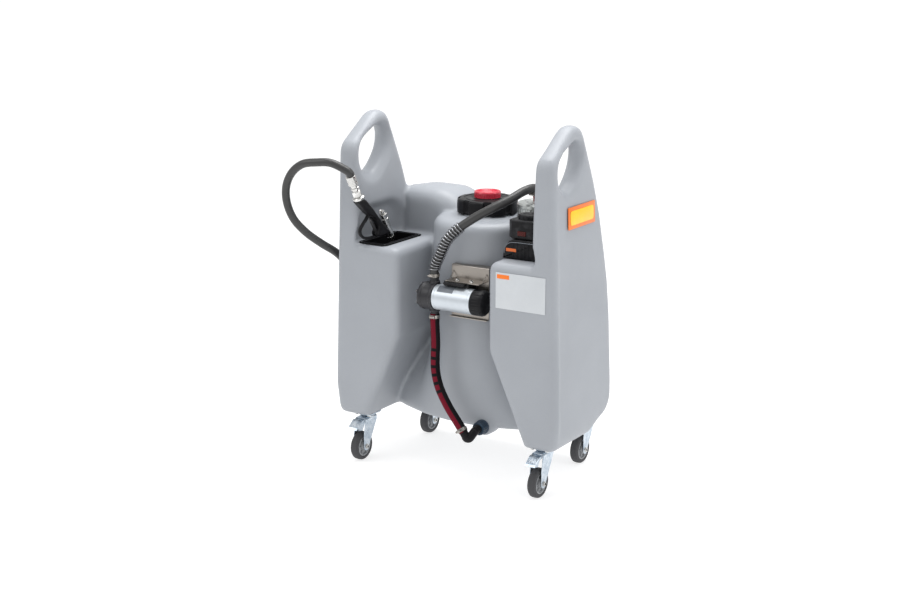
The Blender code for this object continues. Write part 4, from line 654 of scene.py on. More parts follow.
CAST = Finish("dark_cast_metal", "cast_metal", (0.009, 0.009, 0.012), (0.016, 0.016, 0.020), (0.36, 0.52),
              metallic=0.08, grain_scale=520.0, depth=0.0003, strength=0.5, worn=(0.22, 0.22, 0.23))
CAN = Finish("motor_can_metal", "motor_can", (0.60, 0.64, 0.68), (0.52, 0.56, 0.60), (0.36, 0.48),
             metallic=0.75, grain=Grain.BRUSHED, grain_scale=2200.0, strength=0.10, cloud_scale=14.0)
BRIGHT = Finish("bright_plated_metal", "bright_metal", (0.66, 0.655, 0.64), (0.50, 0.495, 0.48), (0.16, 0.30),
                metallic=1.0, grain_scale=800.0, strength=0.10, cloud_scale=45.0, worn=(0.8, 0.8, 0.79))
CLAMP = Finish("clamp_steel", "bright_metal", (0.42, 0.40, 0.37), (0.30, 0.28, 0.26), (0.24, 0.36),
               metallic=1.0, grain_scale=900.0, strength=0.12, cloud_scale=60.0)
SHEET = Finish("bracket_stainless", "bracket_sheet", (0.37, 0.34, 0.31), (0.30, 0.275, 0.25), (0.26, 0.38),
               metallic=1.0, grain=Grain.BRUSHED, grain_scale=1800.0, strength=0.12, cloud_scale=6.0)
ZINC = Finish("zinc_plated_steel", "zinc_plate", (0.50, 0.57, 0.64), (0.38, 0.45, 0.53), (0.22, 0.38),
              metallic=1.0, grain_scale=500.0, strength=0.15, cloud_scale=55.0, worn=(0.70, 0.75, 0.8), dust=0.12)
DARK_STEEL = Finish("dark_steel", "dark_steel", (0.20, 0.20, 0.21), (0.13, 0.13, 0.14), (0.28, 0.42),
                    metallic=1.0, worn=(0.45, 0.45, 0.45))
TYRE = Finish("tyre_rubber", "tyre_rubber", (0.004, 0.004, 0.005), (0.007, 0.007, 0.009), (0.48, 0.66),
              grain_scale=700.0, depth=0.0002, strength=0.35, dust=0.01, specular=0.04)
HUB = Finish("grey_hub_plastic", "hub_grey", (0.30, 0.315, 0.33), (0.24, 0.25, 0.265), (0.35, 0.5), dust=0.15)
LABEL = Finish("white_label_film", "label_white", (0.56, 0.585, 0.61), (0.53, 0.555, 0.58), (0.30, 0.40),
               grain_scale=300.0, strength=0.05, cloud_scale=20.0)
ORANGE = Finish("orange_sign_film", "sign_orange", (0.87, 0.185, 0.006), (0.78, 0.15, 0.004), (0.28, 0.38),
                strength=0.06, cloud_scale=25.0)
YELLOW = Finish("yellow_sign_film", "sign_yellow", (0.95, 0.60, 0.02), (0.88, 0.52, 0.012), (0.28, 0.38),
                strength=0.06, cloud_scale=25.0)
HEAD_METAL = Finish("flow_head_metal", "bright_metal", (0.50, 0.52, 0.51), (0.42, 0.44, 0.43), (0.34, 0.46),
                    metallic=0.9, grain_scale=800.0, strength=0.1, cloud_scale=45.0)
PLATE_GREY = Finish("rating_plate_film", "motor_can", (0.10, 0.115, 0.14), (0.16, 0.175, 0.195), (0.3, 0.4),
                    strength=0.05)


@dataclass
class Assembly:
    """A sub-assembly: it builds its pieces, hands them to the frame's bodies, and dresses them."""

    made: list[tuple[bpy.types.Object, Finish]] = field(default_factory=list, init=False)

    def add(
        self,
        name: str,
        form: Shape | bpy.types.Mesh,
        finish: Finish,
        body: str,
        nodes: tuple[str, ...] = (),
        crease: float = 34.0,
        bevel: float = 0.0,
    ) -> bpy.types.Object:
        """Makes one piece.

        Args:
            name: the piece's name.
            form: its shape, or its finished mesh.
            finish: what it is dressed in.
            body: the CAD body that it rides on.
            nodes: the CAD nodes that it stands for.
            crease: the angle in degrees above which an edge stays sharp.
            bevel: width of the bevel on its sharp edges.
        Returns:
            The piece.
        """
        mesh = form.mesh(name) if isinstance(form, Shape) else form
        mesh.name = name
        obj = placed(name, mesh)
        mesh.shade_smooth()
        mesh.set_sharp_from_angle(angle=math.radians(crease))
        if bevel > 0:
            step = obj.modifiers.new("edges", "BEVEL")
            step.width, step.segments, step.limit_method = bevel, 2, "ANGLE"
            step.angle_limit, step.harden_normals = math.radians(crease), True
        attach(obj, body)
        if nodes:
            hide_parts(*nodes)
        self.made.append((obj, finish))
        log.info("%s: %d faces, on %s", name, len(mesh.polygons), body)
        return obj

    def keep(self, node: str, finish: Finish) -> None:
        """Leaves a CAD node showing, in a better finish."""
        self.made.append((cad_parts[node], finish))

    def build(self) -> None:
        """Makes the pieces."""
        raise NotImplementedError

    def dress(self) -> None:
        """Puts each piece's finish on it."""
        for obj, finish in self.made:
            obj.data.materials.clear()
            obj.data.materials.append(finish.material())


def tower_outer(z: Array) -> Array:
    """Distance of a tower's outer face from the middle plane: it leans in with height, and draws in at the foot."""
    return 0.357 - DRAFT * (z - UNDERSIDE) - 0.165 * np.maximum(0.222 - z, 0.0)


def tower_inner(z: Array) -> Array:
    """Distance of a tower's inner face from the middle plane: it leans out with height."""
    return 0.2625 + DRAFT * (z - LEDGE)


def drum_front(x: Array, z: float) -> Array:
    """Y of the drum's front: DRUM_CENTRE - sqrt(r^2 - x^2) above, going over to a flat parabola at the foot."""
    bulge = np.minimum(DRUM_CENTRE - np.sqrt(np.maximum(0.147**2 - x * x, 0.0)), 0.052)
    foot = np.minimum(-0.093 + 1.15 * x * x, 0.052)
    t = min(max((0.40 - z) / 0.23, 0.0), 1.0)
    t = t * t * (3 - 2 * t)
    return (1 - t) * bulge + t * foot


@dataclass
class Tank(Assembly):
    """The moulded tank: drum, saddle, two front boxes, two handle towers, neck, outlet boss and rear pads."""

    voxel: float = 0.0052
    rounds: int = 9
    tower_rim: float = 0.020
    tower: tuple = (
        (-0.160, 0.134), (-0.173, 0.139), (-0.178, 0.152), (-0.178, 0.222), (-0.178, 0.870),
        (-0.175, 0.884), (-0.167, 0.898), (-0.078, 0.960), (-0.060, 0.969), (-0.036, 0.971),
        (-0.016, 0.963), (-0.002, 0.945), (0.054, 0.814), (0.082, 0.730), (0.105, 0.635),
        (0.125, 0.535), (0.133, 0.430), (0.136, 0.260), (0.1345, 0.222), (0.132, 0.198),
        (0.114, 0.172), (0.070, 0.154), (0.030, 0.134),
    )
    hole: tuple = (
        (-0.141, 0.850), (-0.141, 0.872), (-0.133, 0.890), (-0.113, 0.905), (-0.062, 0.9285),
        (-0.044, 0.931), (-0.027, 0.924), (-0.016, 0.908), (-0.015, 0.888), (-0.022, 0.866),
        (-0.037, 0.845), (-0.056, 0.826), (-0.080, 0.8095), (-0.100, 0.806), (-0.120, 0.813),
        (-0.135, 0.830),
    )
    dish: tuple = (
        (-0.152, LEDGE), (-0.152, 0.680), (-0.140, 0.705), (-0.010, 0.705), (0.020, 0.690),
        (0.033, 0.665), (0.033, LEDGE),
    )

    def tower_mesh(self) -> bpy.types.Mesh:
        """The right tower: a slab with round rims whose faces lean, less its flared hand hole and its dish."""
        top = max(z for _, z in self.tower)
        inner, outer = float(tower_inner(top)), float(tower_outer(top))
        slab = prism(np.array(self.tower), Plane.YZ, inner, outer, self.tower_rim, 7)
        x, z = slab.points[:, 0], slab.points[:, 2]
        outside = x > (inner + outer) / 2
        slab.points[:, 0] = x + np.where(outside, tower_outer(z) - outer, tower_inner(z) - inner)
        half = (outer - inner) / 2
        hole = softened(np.array(self.hole), 0.05, 5, closed=True)
        share = np.linspace(-1.35, 1.35, 25)
        spread = np.where(share < 0, 0.016, 0.008) * np.abs(share) ** 2.5
        rows = [Plane.YZ.laid(inset(hole, -s), (inner + outer) / 2 + half * k) for k, s in zip(share, spread)]
        dish = softened(np.array(self.dish), [0, 0.03, 0.03, 0.05, 0.03, 0.03, 0], 6, closed=True)
        sinks = [(0.034, 0.2585), (0.022, 0.2640), (0.012, 0.2745), (0.004, 0.2820), (0.0, 0.2875)]
        bowl = surface(np.stack([Plane.YZ.laid(inset(dish, -s), x) for s, x in sinks]))
        bowl.points[:, 2] = np.maximum(bowl.points[:, 2], LEDGE - 0.0004)
        return worked(slab.mesh("tower"), (surface(np.stack(rows)).mesh("hole"), bowl.mesh("bowl")))

    def drum(self) -> Shape:
        """The drum: at each height its front curve, round rear corners and rear face, the rims drawn in."""
        half, corner, rear, low, high, rim = 0.285, 0.060, 0.2382, UNDERSIDE, DRUM_TOP, 0.028
        bulge = 0.1464 * np.sin(np.radians(np.arange(-90, 91, 7.5)))
        across_x = np.concatenate([[-half, -half * 0.75], bulge, [half * 0.75, half]])
        side_y = rear - 0.35 * (half - corner) ** 2
        turn = np.radians(np.linspace(0, 90, 9))
        right = np.stack([half - corner + corner * np.cos(turn), side_y - corner + corner * np.sin(turn)], 1)
        flat_x = np.linspace(0.17, -0.17, 13)
        flat = np.stack([flat_x, rear - 0.35 * flat_x**2], axis=1)
        left = right[::-1] * (-1, 1)
        angle = np.linspace(0, math.pi / 2, 7)
        foot = 0.7 * rim
        levels = [(low + foot * (1 - math.cos(a)), foot * (1 - math.sin(a))) for a in angle]
        levels += [(z, 0.0) for z in np.linspace(0.17, 0.62, 24)]
        levels += [(high - rim * (1 - math.cos(a)), rim * (1 - math.sin(a))) for a in angle[::-1]]
        rows = []
        for z, pull in levels:
            front = np.stack([across_x, drum_front(across_x, z)], axis=1)
            rows.append(Plane.XY.laid(inset(np.vstack([front, right, flat, left]), pull), z))
        return surface(np.stack(rows))

    def front_box(self) -> Shape:
        """The right front box: its face outline with a slanted inner foot, carried to the rear."""
        lip = 0.023
        outline = [(0.140, LEDGE - lip), (0.140, 0.384), (0.250, UNDERSIDE + 0.0004)]
        outline += [(0.314, UNDERSIDE + 0.0004), (0.314, LEDGE)]
        turn = np.radians(np.linspace(0, 90, 7))
        round_top = np.stack([0.140 + lip * (1 - np.sin(turn)), LEDGE - lip * (1 - np.cos(turn))], axis=1)
        return prism(np.vstack([outline, round_top[:-1]]), Plane.XZ, TANK_FRONT + 0.0004, 0.075, 0.020, 7)

    def saddle(self) -> bpy.types.Mesh:
        """The saddle: a sine rise from the filler's dip to a hump by each tower, narrower to the rear."""
        half, front, rear, rim, taper = 0.284, 0.043, 0.200, 0.042, 0.22
        t = np.linspace(0, 1, 15)
        right = np.stack([0.060 + 0.125 * t, DRUM_TOP - 0.004 + 0.0595 * np.sin(math.pi / 2 * t)], axis=1)
        edge = np.array([(half, DRUM_TOP - 0.13), (half, DRUM_TOP + 0.0565)])
        outline = np.vstack([edge, right[::-1], right * (-1, 1), edge[::-1] * (-1, 1)])
        shape = prism(outline, Plane.XZ, front, rear, rim, 7)
        shape.points[:, 0] *= 1 - taper * (shape.points[:, 1] - front) / (rear - front)
        room = rod(0.0865, (0, DRUM_CENTRE, 0.6985), (0, DRUM_CENTRE, 0.78), sides=64)
        return worked(shape.mesh("saddle"), (room.mesh("room"),))

    def build(self) -> None:
        """Skins all the forms together, then cuts the holder's well and the flow head's seat."""
        tower = self.tower_mesh()
        other = tower.copy()
        other.transform(Matrix.Diagonal((-1, 1, 1, 1)))
        other.flip_normals()
        neck = [(0, 0.6725), (0.092, 0.6725), (0.092, 0.6975), (0.091, 0.6985), (0.068, 0.6985), (0.068, 0.7225)]
        place = (OUTLET[0], float(drum_front(np.array(OUTLET[0]), OUTLET[1])) - 0.004, OUTLET[1])
        forms = [
            self.drum(),
            self.front_box(),
            self.front_box().mirrored(),
            revolved([*neck, (0, 0.7225)]).shifted(y=DRUM_CENTRE),
            rod(0.027, place, np.add(place, (0, 0.054, 0)), 0.003),
            *[box((s - 0.034, s + 0.034), (0.146, 0.214), (0.1344, 0.164), 0.006) for s in (-0.249, 0.249)],
        ]
        blank = joined(*forms).mesh("tank_blank")
        work = bmesh.new()
        work.from_mesh(blank)
        for mesh in (tower, other, self.saddle()):
            work.from_mesh(mesh)
        work.to_mesh(blank)
        work.free()
        skin = worked(blank, (), self.voxel, self.rounds)
        well = box((-0.2693, -0.1982), (-0.1503, 0.0098), (0.573, 0.66), 0.002)
        seat = rod(0.060, (*FLOW_HEAD, 0.700), (*FLOW_HEAD, 0.80), sides=64)
        slot = box((FLOW_HEAD[0] - 0.022, FLOW_HEAD[0] + 0.022), (FLOW_HEAD[1], 0.29), (0.700, 0.80), 0.004)
        cuts = (seat.mesh("seat"), slot.mesh("slot"), well.mesh("well"))
        self.add("tank_moulding", worked(skin, cuts), TANK, "trolley", ("tank_shell",), crease=50.0)


@dataclass
class Holder(Assembly):
    """The black insert in the left ledge: a flange with a raised lip, and the pocket for the nozzle's spout."""

    x: tuple = (-0.2810, -0.1865)
    y: tuple = (-0.162, 0.0215)
    rim: float = 0.012
    depth: float = 0.046
    thick: float = 0.003

    def build(self) -> None:
        """Carries the insert's section round a rectangle: rows of (draw-in, height above the ledge)."""
        low, wall = GAP, 0.0025
        floor, top, inner = GAP - self.depth, low + self.thick, self.rim + wall
        section = [
            (self.rim + 0.001, floor - wall), (self.rim, floor - wall + 0.001), (self.rim, low), (0.0, low),
            (0.0, top - 0.0008), (0.0008, top), (0.0045, top), (0.0055, top - 0.0009),
            (self.rim - 0.0022, top - 0.0009), (self.rim - 0.0012, top), (inner - 0.0008, top),
            (inner, top - 0.001), (inner + 0.001, floor + 0.003), (inner + 0.004, floor),
        ]
        outline = rectangle(self.x, self.y, 0.016, 9)
        rows = [Plane.XY.laid(inset(outline, pull), LEDGE + z) for pull, z in section]
        self.add("holder_insert", surface(np.stack(rows)), BLACK_SHEET, "trolley", ("nozzle_holder",), bevel=0.0003)
        heads = [
            screw((x, y, LEDGE + top - 0.0009), (0, 0, 1), 0.003, 0.0009)
            for x in (self.x[0] + 0.008, self.x[1] - 0.008)
            for y in (self.y[0] + 0.008, self.y[1] - 0.008)
        ]
        self.add("holder_screws", joined(*heads), DARK_STEEL, "trolley")


@dataclass
class Filler(Assembly):
    """The lobed screw cap on its gasket, and the red vent on top."""

    seat: float = 0.6988
    radius: float = 0.0835
    lobes: int = 8
    height: float = 0.039

    def build(self) -> None:
        """Cap and vent as fluted turnings: a flat-topped wave for the cap's lobes, a fine one for the vent."""
        base = frame_at((0, DRUM_CENTRE, self.seat), (0, 0, 1))
        angle = around(384)
        notch = np.clip(4.2 * (np.cos(self.lobes * (angle - math.radians(30))) - 0.42), 0, 1)
        notch = notch * notch * (3 - 2 * notch)
        low, high, r, d = 0.0033, 0.0033 + self.height, self.radius, 0.0062
        skin = [
            (0.0695, low, 0), (r - 0.002, low, d), (r, low + 0.002, d), (r, low + 0.006, d * 0.6),
            (r, low + 0.009, d), (r, high - 0.007, d), (r - 0.0012, high - 0.0035, d),
            (r - 0.004, high - 0.0008, d * 0.8), (r - 0.007, high, d * 0.4), (0.066, high, 0),
            (0.0645, high - 0.0016, 0), (0.0600, high - 0.0016, 0), (0.0585, high, 0), (0.0440, high, 0),
            (0.0425, high - 0.001, 0), (0.0400, high - 0.001, 0), (0.0390, high, 0), (0.0126, high, 0),
            (0.0126, high - 0.008, 0), (0.0690, high - 0.008, 0), (0.0695, high - 0.009, 0),
        ]
        self.add("filler_cap_lobed", fluted(skin, notch, base, looped=True), BLACK, "cap", ("filler_cap",))

        top = high + GAP
        knurl = np.clip(2.0 * np.cos(36 * angle), -1, 1)
        vent = [
            (0, high - 0.008, 0), (0.012, high - 0.008, 0), (0.012, top, 0), (0.0335, top, 0),
            (0.0360, top + 0.0012, 0), (0.0360, top + 0.003, 0.0004), (0.0362, top + 0.0125, 0.0004),
            (0.0365, top + 0.014, 0), (0.0360, top + 0.0165, 0), (0.0345, top + 0.018, 0),
            (0.0320, top + 0.018, 0), (0.0300, top + 0.0165, 0), (0.0280, top + 0.0140, 0),
            (0.0150, top + 0.0136, 0), (0.0140, top + 0.0150, 0), (0, top + 0.0155, 0),
        ]
        self.add("vent_valve", fluted(vent, knurl, base), RED, "vent", ("vent_cap",))
        self.keep("filler_gasket", SEAL)


@dataclass
class Outlet(Assembly):
    """The dark blue tank fitting low on the front and the black elbow with its hose tail."""

    length: float = 0.024

    def build(self) -> None:
        """Nut as a fluted turning with a flange; elbow as a tube whose radius follows its collars and barbs."""
        x, z = OUTLET
        end = self.length
        face = float(drum_front(np.array(x), z)) - 0.004 - GAP
        ribs = np.clip(0.5 - 3 * np.cos(18 * around(288)), 0, 1)
        nut = [
            (0, -0.035, 0), (0.013, -0.035, 0), (0.013, 0, 0), (0.0205, 0, 0), (0.0205, 0.0040, 0),
            (0.0195, 0.0048, 0), (0.0193, 0.0055, 0.0011), (0.0190, 0.0205, 0.0011), (0.0182, 0.0225, 0.0005),
            (0.0175, end, 0), (0.0120, end, 0), (0.0115, end - 0.001, 0), (0, end - 0.001, 0),
        ]
        place = frame_at((x, face, z), (0, -1, 0))
        self.add("tank_fitting", fluted(nut, ribs, place), BLUE, "trolley", ("outlet_bulkhead",))

        start = np.array((x, face - end - GAP, z))
        bend = start + (0, -0.013, 0)
        route = softened([start, bend, ELBOW_CORNER, ELBOW_FOOT], 0.011, 12)
        path = smooth_route(route, 0.0006)
        along = distances(path)
        total = along[-1]
        stations = np.array([0, 0.0004, 0.0055, 0.0065, 0.011, 0.012, total - 0.020, total - 0.019,
                             total - 0.0125, total - 0.0115, total])
        radii = np.array([0.0120, 0.0125, 0.0125, 0.0108, 0.0108, 0.0118, 0.0118, 0.0125, 0.0125, 0.0115, 0.0115])
        body = swept(path, np.interp(along, stations, radii), 36)
        mid = (bend + ELBOW_CORNER) / 2
        ridge = swept(route[2:-2] + (0.0, -0.0104, 0.0), 0.0016, 10)
        cap = rod(0.0085, mid + (-0.002, -0.006, -0.004), mid + (-0.003, -0.0125, -0.0075), 0.001)
        self.add("outlet_elbow_bend", joined(body, ridge, cap), BLACK, "trolley", ("outlet_elbow",))


@dataclass
class Hoses(Assembly):
    """Suction and riser hose with their clamps and the wound kink guard."""

    suction_width: float = 0.025
    riser_width: float = 0.0235
    wire: float = 0.0030
    guard_start: float = 0.019
    guard_length: float = 0.150
    guard_turns: int = 17

    def suction(self) -> Array:
        """Route of the suction hose from the pump's lower port to the elbow."""
        top = np.array((*PORTS, PUMP_HEIGHT - PORT_REACH))
        away = (ELBOW_FOOT - ELBOW_CORNER) / np.linalg.norm(ELBOW_FOOT - ELBOW_CORNER)
        return smooth_route(
            [top - (0, 0, GAP), top - (0, 0, 0.030), (-0.043, -0.138, 0.370), (-0.043, -0.140, 0.300),
             (-0.028, -0.143, 0.248), (0.002, -0.146, 0.200), (0.032, -0.1475, 0.163),
             ELBOW_FOOT + away * 0.014, ELBOW_FOOT + away * GAP], 0.004)

    def riser(self) -> Array:
        """Route of the riser hose from the pump's upper port, past the filler, to the flow head."""
        low = np.array((*PORTS, PUMP_HEIGHT + PORT_REACH))
        end = np.array((*FLOW_HEAD, FLOW_HEAD_TOP + GAP)) + STUB_LEAN * 0.022
        return smooth_route(
            [low + (0, 0, GAP), low + (0, 0, 0.030), (-0.031, -0.137, 0.610), (-0.010, -0.132, 0.655),
             (0.022, -0.122, 0.689), (0.063, -0.105, 0.720), (0.101, -0.080, 0.744), (0.131, -0.045, 0.764),
             (0.149, -0.006, 0.781), end + STUB_LEAN * 0.020, end + STUB_LEAN * GAP], 0.004)

    def clamp(self, place: Array, heading: Array, width: float) -> Shape:
        """A worm drive clamp: a band with rolled edges, raised threads, a housing and its screw.

        Args:
            place: the band's middle.
            heading: the hose's direction there.
            width: the hose's diameter.
        Returns:
            The clamp.
        """
        inner, half = width / 2 * 1.01 + GAP, 0.0045
        outer = inner + 0.0012
        worm = outer + 0.0034
        band = [(inner, -half), (outer, -half), (outer + 0.0002, -half + 0.0008), (outer, -half + 0.0016),
                (outer, half - 0.0016), (outer + 0.0002, half - 0.0008), (outer, half), (inner, half)]
        housing = box((outer - 0.0006, outer + 0.0022), (-0.0075, 0.0075), (-half + 0.0004, half - 0.0004), 0.0006)
        head = prism(hexagon(0.0033), Plane.XY, 0, 0.003, 0.0004, 2).moved(frame_at((worm, -0.0070, 0), (0, -1, 0)))
        ridge = box((outer - 0.0004, outer + 0.0005), (-0.0005, 0.0005), (-0.003, 0.003))
        turns = (np.array(Matrix.Rotation(math.radians(42 + 9 * k), 4, "Z")) for k in range(7))
        shapes = [revolved(band, looped=True), housing, rod(0.0030, (worm, -0.0065, 0), (worm, 0.0055, 0), 0.0006)]
        return joined(*shapes, head, *map(ridge.moved, turns)).moved(frame_at(place, heading, (0, -1, 0)))

    def guard(self, riser: Array) -> Shape:
        """The guard: a wire wound round the riser, centre + r (side cos a + other sin a) as a turns."""
        fine = smooth_route(riser, 0.001)
        wanted = np.linspace(self.guard_start, self.guard_start + self.guard_length, self.guard_turns * 26)
        lines = (fine, *across(fine, (1.0, 0.0, 0.0)))
        centre, side, other = (sampled(wanted, distances(fine), line) for line in lines)
        angle = np.linspace(0, 2 * math.pi * self.guard_turns, len(wanted))[:, None]
        radius = self.riser_width / 2 + self.wire
        return swept(centre + radius * (side * np.cos(angle) + other * np.sin(angle)), self.wire / 2, 10, (0, 0, 1))

    def build(self) -> None:
        """Sweeps the hoses, seats a clamp at each end and winds the guard."""
        suction, riser = self.suction(), self.riser()
        tube = swept(suction, self.suction_width / 2, 36)
        self.add("suction_hose_striped", tube, SUCTION, "trolley", ("suction_hose",))
        self.add("riser_hose_black", swept(riser, self.riser_width / 2, 36), HOSE, "trolley", ("riser_hose",))
        self.add("kink_guard", self.guard(riser), GUARD, "trolley", ("kink_guard_spring",), crease=60)
        for hose, path, width in (("suction", suction, self.suction_width), ("riser", riser, self.riser_width)):
            for end, at, inside in (("pump", path[0], path[1]), ("far", path[-1], path[-2])):
                heading = (inside - at) / np.linalg.norm(inside - at)
                shape = self.clamp(at + heading * 0.0075, heading, width)
                node = f"hose_clamp_{hose}_{end}_end"
                self.add(f"worm_clamp_{hose}_{end}", shape, CLAMP, "trolley", (node,), bevel=0.0002)


@dataclass
class Pump(Assembly):
    """Pump head with its ports, motor can with end cap, mounting foot, and the bent bracket with its bolts."""

    y: float = -0.142
    z: float = PUMP_HEIGHT
    head: tuple = (-0.084, -0.034)
    head_radius: float = 0.0375
    screw_circle: float = 0.0295
    can_radius: float = 0.0345
    can_length: float = 0.117
    cap_length: float = 0.035
    back: float = -0.1061
    sheet: float = 0.002
    bracket: tuple = (-0.012, 0.104)

    def axis(self) -> Array:
        """The motor's axis as a place: Z along +X."""
        return frame_at((0, self.y, self.z), (1, 0, 0), (0, 1, 0))

    def arc(self, radius: float, degrees: tuple[float, float], count: int) -> Array:
        """Points of an arc round the axis: (y + r cos a, z + r sin a)."""
        turn = np.radians(np.linspace(*degrees, count))
        return np.stack([self.y + radius * np.cos(turn), self.z + radius * np.sin(turn)], axis=1)

    def head_mesh(self) -> bpy.types.Mesh:
        """Cast head: a drum with a raised cover, ribs along it, six screw bosses and the two ports."""
        start, end = self.head
        r = self.head_radius
        axis = self.axis()
        body = revolved(softened([(0, start + 0.004), (r - 0.009, start + 0.004), (r - 0.0015, start + 0.006),
                                  (r - 0.0015, end - 0.001), (r - 0.004, end), (0, end)], 0.003), axis, 64)
        cover = softened([(0, start), (0.016, start), (0.019, start + 0.005), (0, start + 0.005)], 0.001)
        rings = [(start + 0.011, start + 0.017), (end - 0.009, end - 0.001)]
        shapes = [body, revolved(cover, axis)]
        shapes += [revolved([(0, a), (r, a), (r, b), (0, b)], axis, 64) for a, b in rings]
        for spot in self.arc(self.screw_circle, (30, 330), 6):
            shapes.append(rod(0.0055, (start + 0.0015, *spot), (end - 0.004, *spot), 0.0005))
        for side in (1, -1):
            mouth = np.array((*PORTS, self.z + side * PORT_REACH))
            up = np.array((0, 0, side))
            shapes.append(rod(0.0115, mouth - up * 0.03, mouth, 0.0008))
            shapes.append(rod(0.0150, mouth - up * 0.03, mouth - up * 0.007, 0.001))
        return fused(shapes, 0.0011, 3)

    def build(self) -> None:
        """Builds head, can, end cap, foot, bracket and bolts."""
        start, end = self.head
        axis = self.axis()
        self.add("pump_head_casting", self.head_mesh(), CAST, "trolley", ("pump_head",), crease=60)
        spots = self.arc(self.screw_circle, (30, 330), 6)
        heads = [screw((start + 0.0016, *spot), (-1, 0, 0), 0.004, 0.0016) for spot in spots]
        self.add("pump_head_screws", joined(*heads), DARK_STEEL, "trolley")

        first, last = end + GAP, end + GAP + self.can_length
        r = self.can_radius
        can = [(r - 0.003, first), (r - 0.0006, first), (r, first + 0.0006), (r, first + 0.006),
               (r - 0.0005, first + 0.0066), (r - 0.0005, first + 0.0078), (r, first + 0.0084),
               (r, last - 0.0084), (r - 0.0005, last - 0.0078), (r - 0.0005, last - 0.0066), (r, last - 0.006),
               (r, last - 0.0006), (r - 0.0006, last), (r - 0.003, last)]
        self.add("motor_can_turned", revolved(can, axis, 96, looped=True), CAN, "trolley", ("pump_motor_can",))
        low, high = first + 0.014, first + 0.062
        edges = ((0.0001, low), (0.0005, low), (0.0005, high), (0.0001, high))
        rows = [Plane.YZ.laid(self.arc(r + lift, (104, 142), 24), x) for lift, x in edges]
        self.add("rating_plate_blank", surface(np.stack(rows, axis=1)), PLATE_GREY, "trolley")

        begin = last + GAP
        finish = begin + self.cap_length
        wide = r + 0.0005
        wave = np.clip(3 * np.cos(16 * around(256)) - 1.4, 0, 1)
        cap = [(0, begin, 0), (wide, begin, 0), (wide, begin + 0.005, 0), (wide, begin + 0.007, 0.0008),
               (wide, finish - 0.010, 0.0008), (wide - 0.001, finish - 0.007, 0.0007),
               (wide - 0.005, finish - 0.002, 0), (wide - 0.009, finish - 0.0005, 0), (0.013, finish - 0.0005, 0),
               (0.012, finish, 0), (0, finish, 0)]
        self.add("motor_end_cap", fluted(cap, wave, axis), BLACK, "trolley", ("pump_end_cap",))
        self.keep("pump_rotor", BRIGHT)

        seat_z = self.z + 0.0475
        x0, x1 = first + 0.022, first + 0.098
        saddle = np.vstack([self.arc(r + GAP, (97, 90), 3)[:-1], self.arc(r + GAP, (90, 0), 14)])
        block = [(self.back - GAP, self.z), (self.back - GAP, seat_z), (self.y - 0.004, seat_z)]
        foot = prism(np.vstack([saddle, block]), Plane.YZ, x0, x1)
        span = (self.y - 0.0185, self.y + 0.022)
        lid = box((x0 + 0.006, x1 - 0.006), span, (seat_z - 0.0075, seat_z - 0.001), 0.002)
        self.add("motor_foot", joined(foot, lid), BLACK, "trolley", ("pump_foot",), bevel=0.0006)
        self.bracket_pieces(seat_z + GAP)

    def bracket_pieces(self, shelf_z: float) -> None:
        """The bracket as bent strips, and its four bolts."""
        x0, x1 = self.bracket
        t, back, top, low = self.sheet, self.back, 0.5855, 0.444
        mid, lip_end, front = back + t / 2, -0.0765, self.y - 0.006
        line = [(back - 0.0115, low + t / 2), (mid, low + t / 2), (mid, top - t / 2), (lip_end, top - t / 2)]
        plate = strip(softened(line, 0.003, 6), (x0, x1), t, Plane.YZ)
        line = [(front, shelf_z + t / 2), (back + 0.001, shelf_z + t / 2)]
        shelf = strip(softened(line, 0.0), (x0 + 0.006, x1 - 0.006), t, Plane.YZ)
        line = softened([(back + 0.0005, shelf_z + 0.022), (back - 0.020, shelf_z + t)], 0)
        gussets = [strip(line, (x, x + t), 0.0016, Plane.YZ) for x in (x0 + 0.006, x1 - 0.008)]
        self.add("pump_bracket_bent", joined(plate, shelf, *gussets), SHEET, "trolley", ("pump_bracket",))
        seat = ((front + back) / 2 - 0.004, shelf_z + t - 0.0001)
        heads = [bolt((x, *seat), (0, 0, 1)) for x in (x0 + 0.034, x1 - 0.040)]
        heads += [bolt((x, back, low + 0.018), (0, -1, 0)) for x in (x0 + 0.014, x1 - 0.014)]
        self.add("bracket_bolts", joined(*heads), BRIGHT, "trolley")


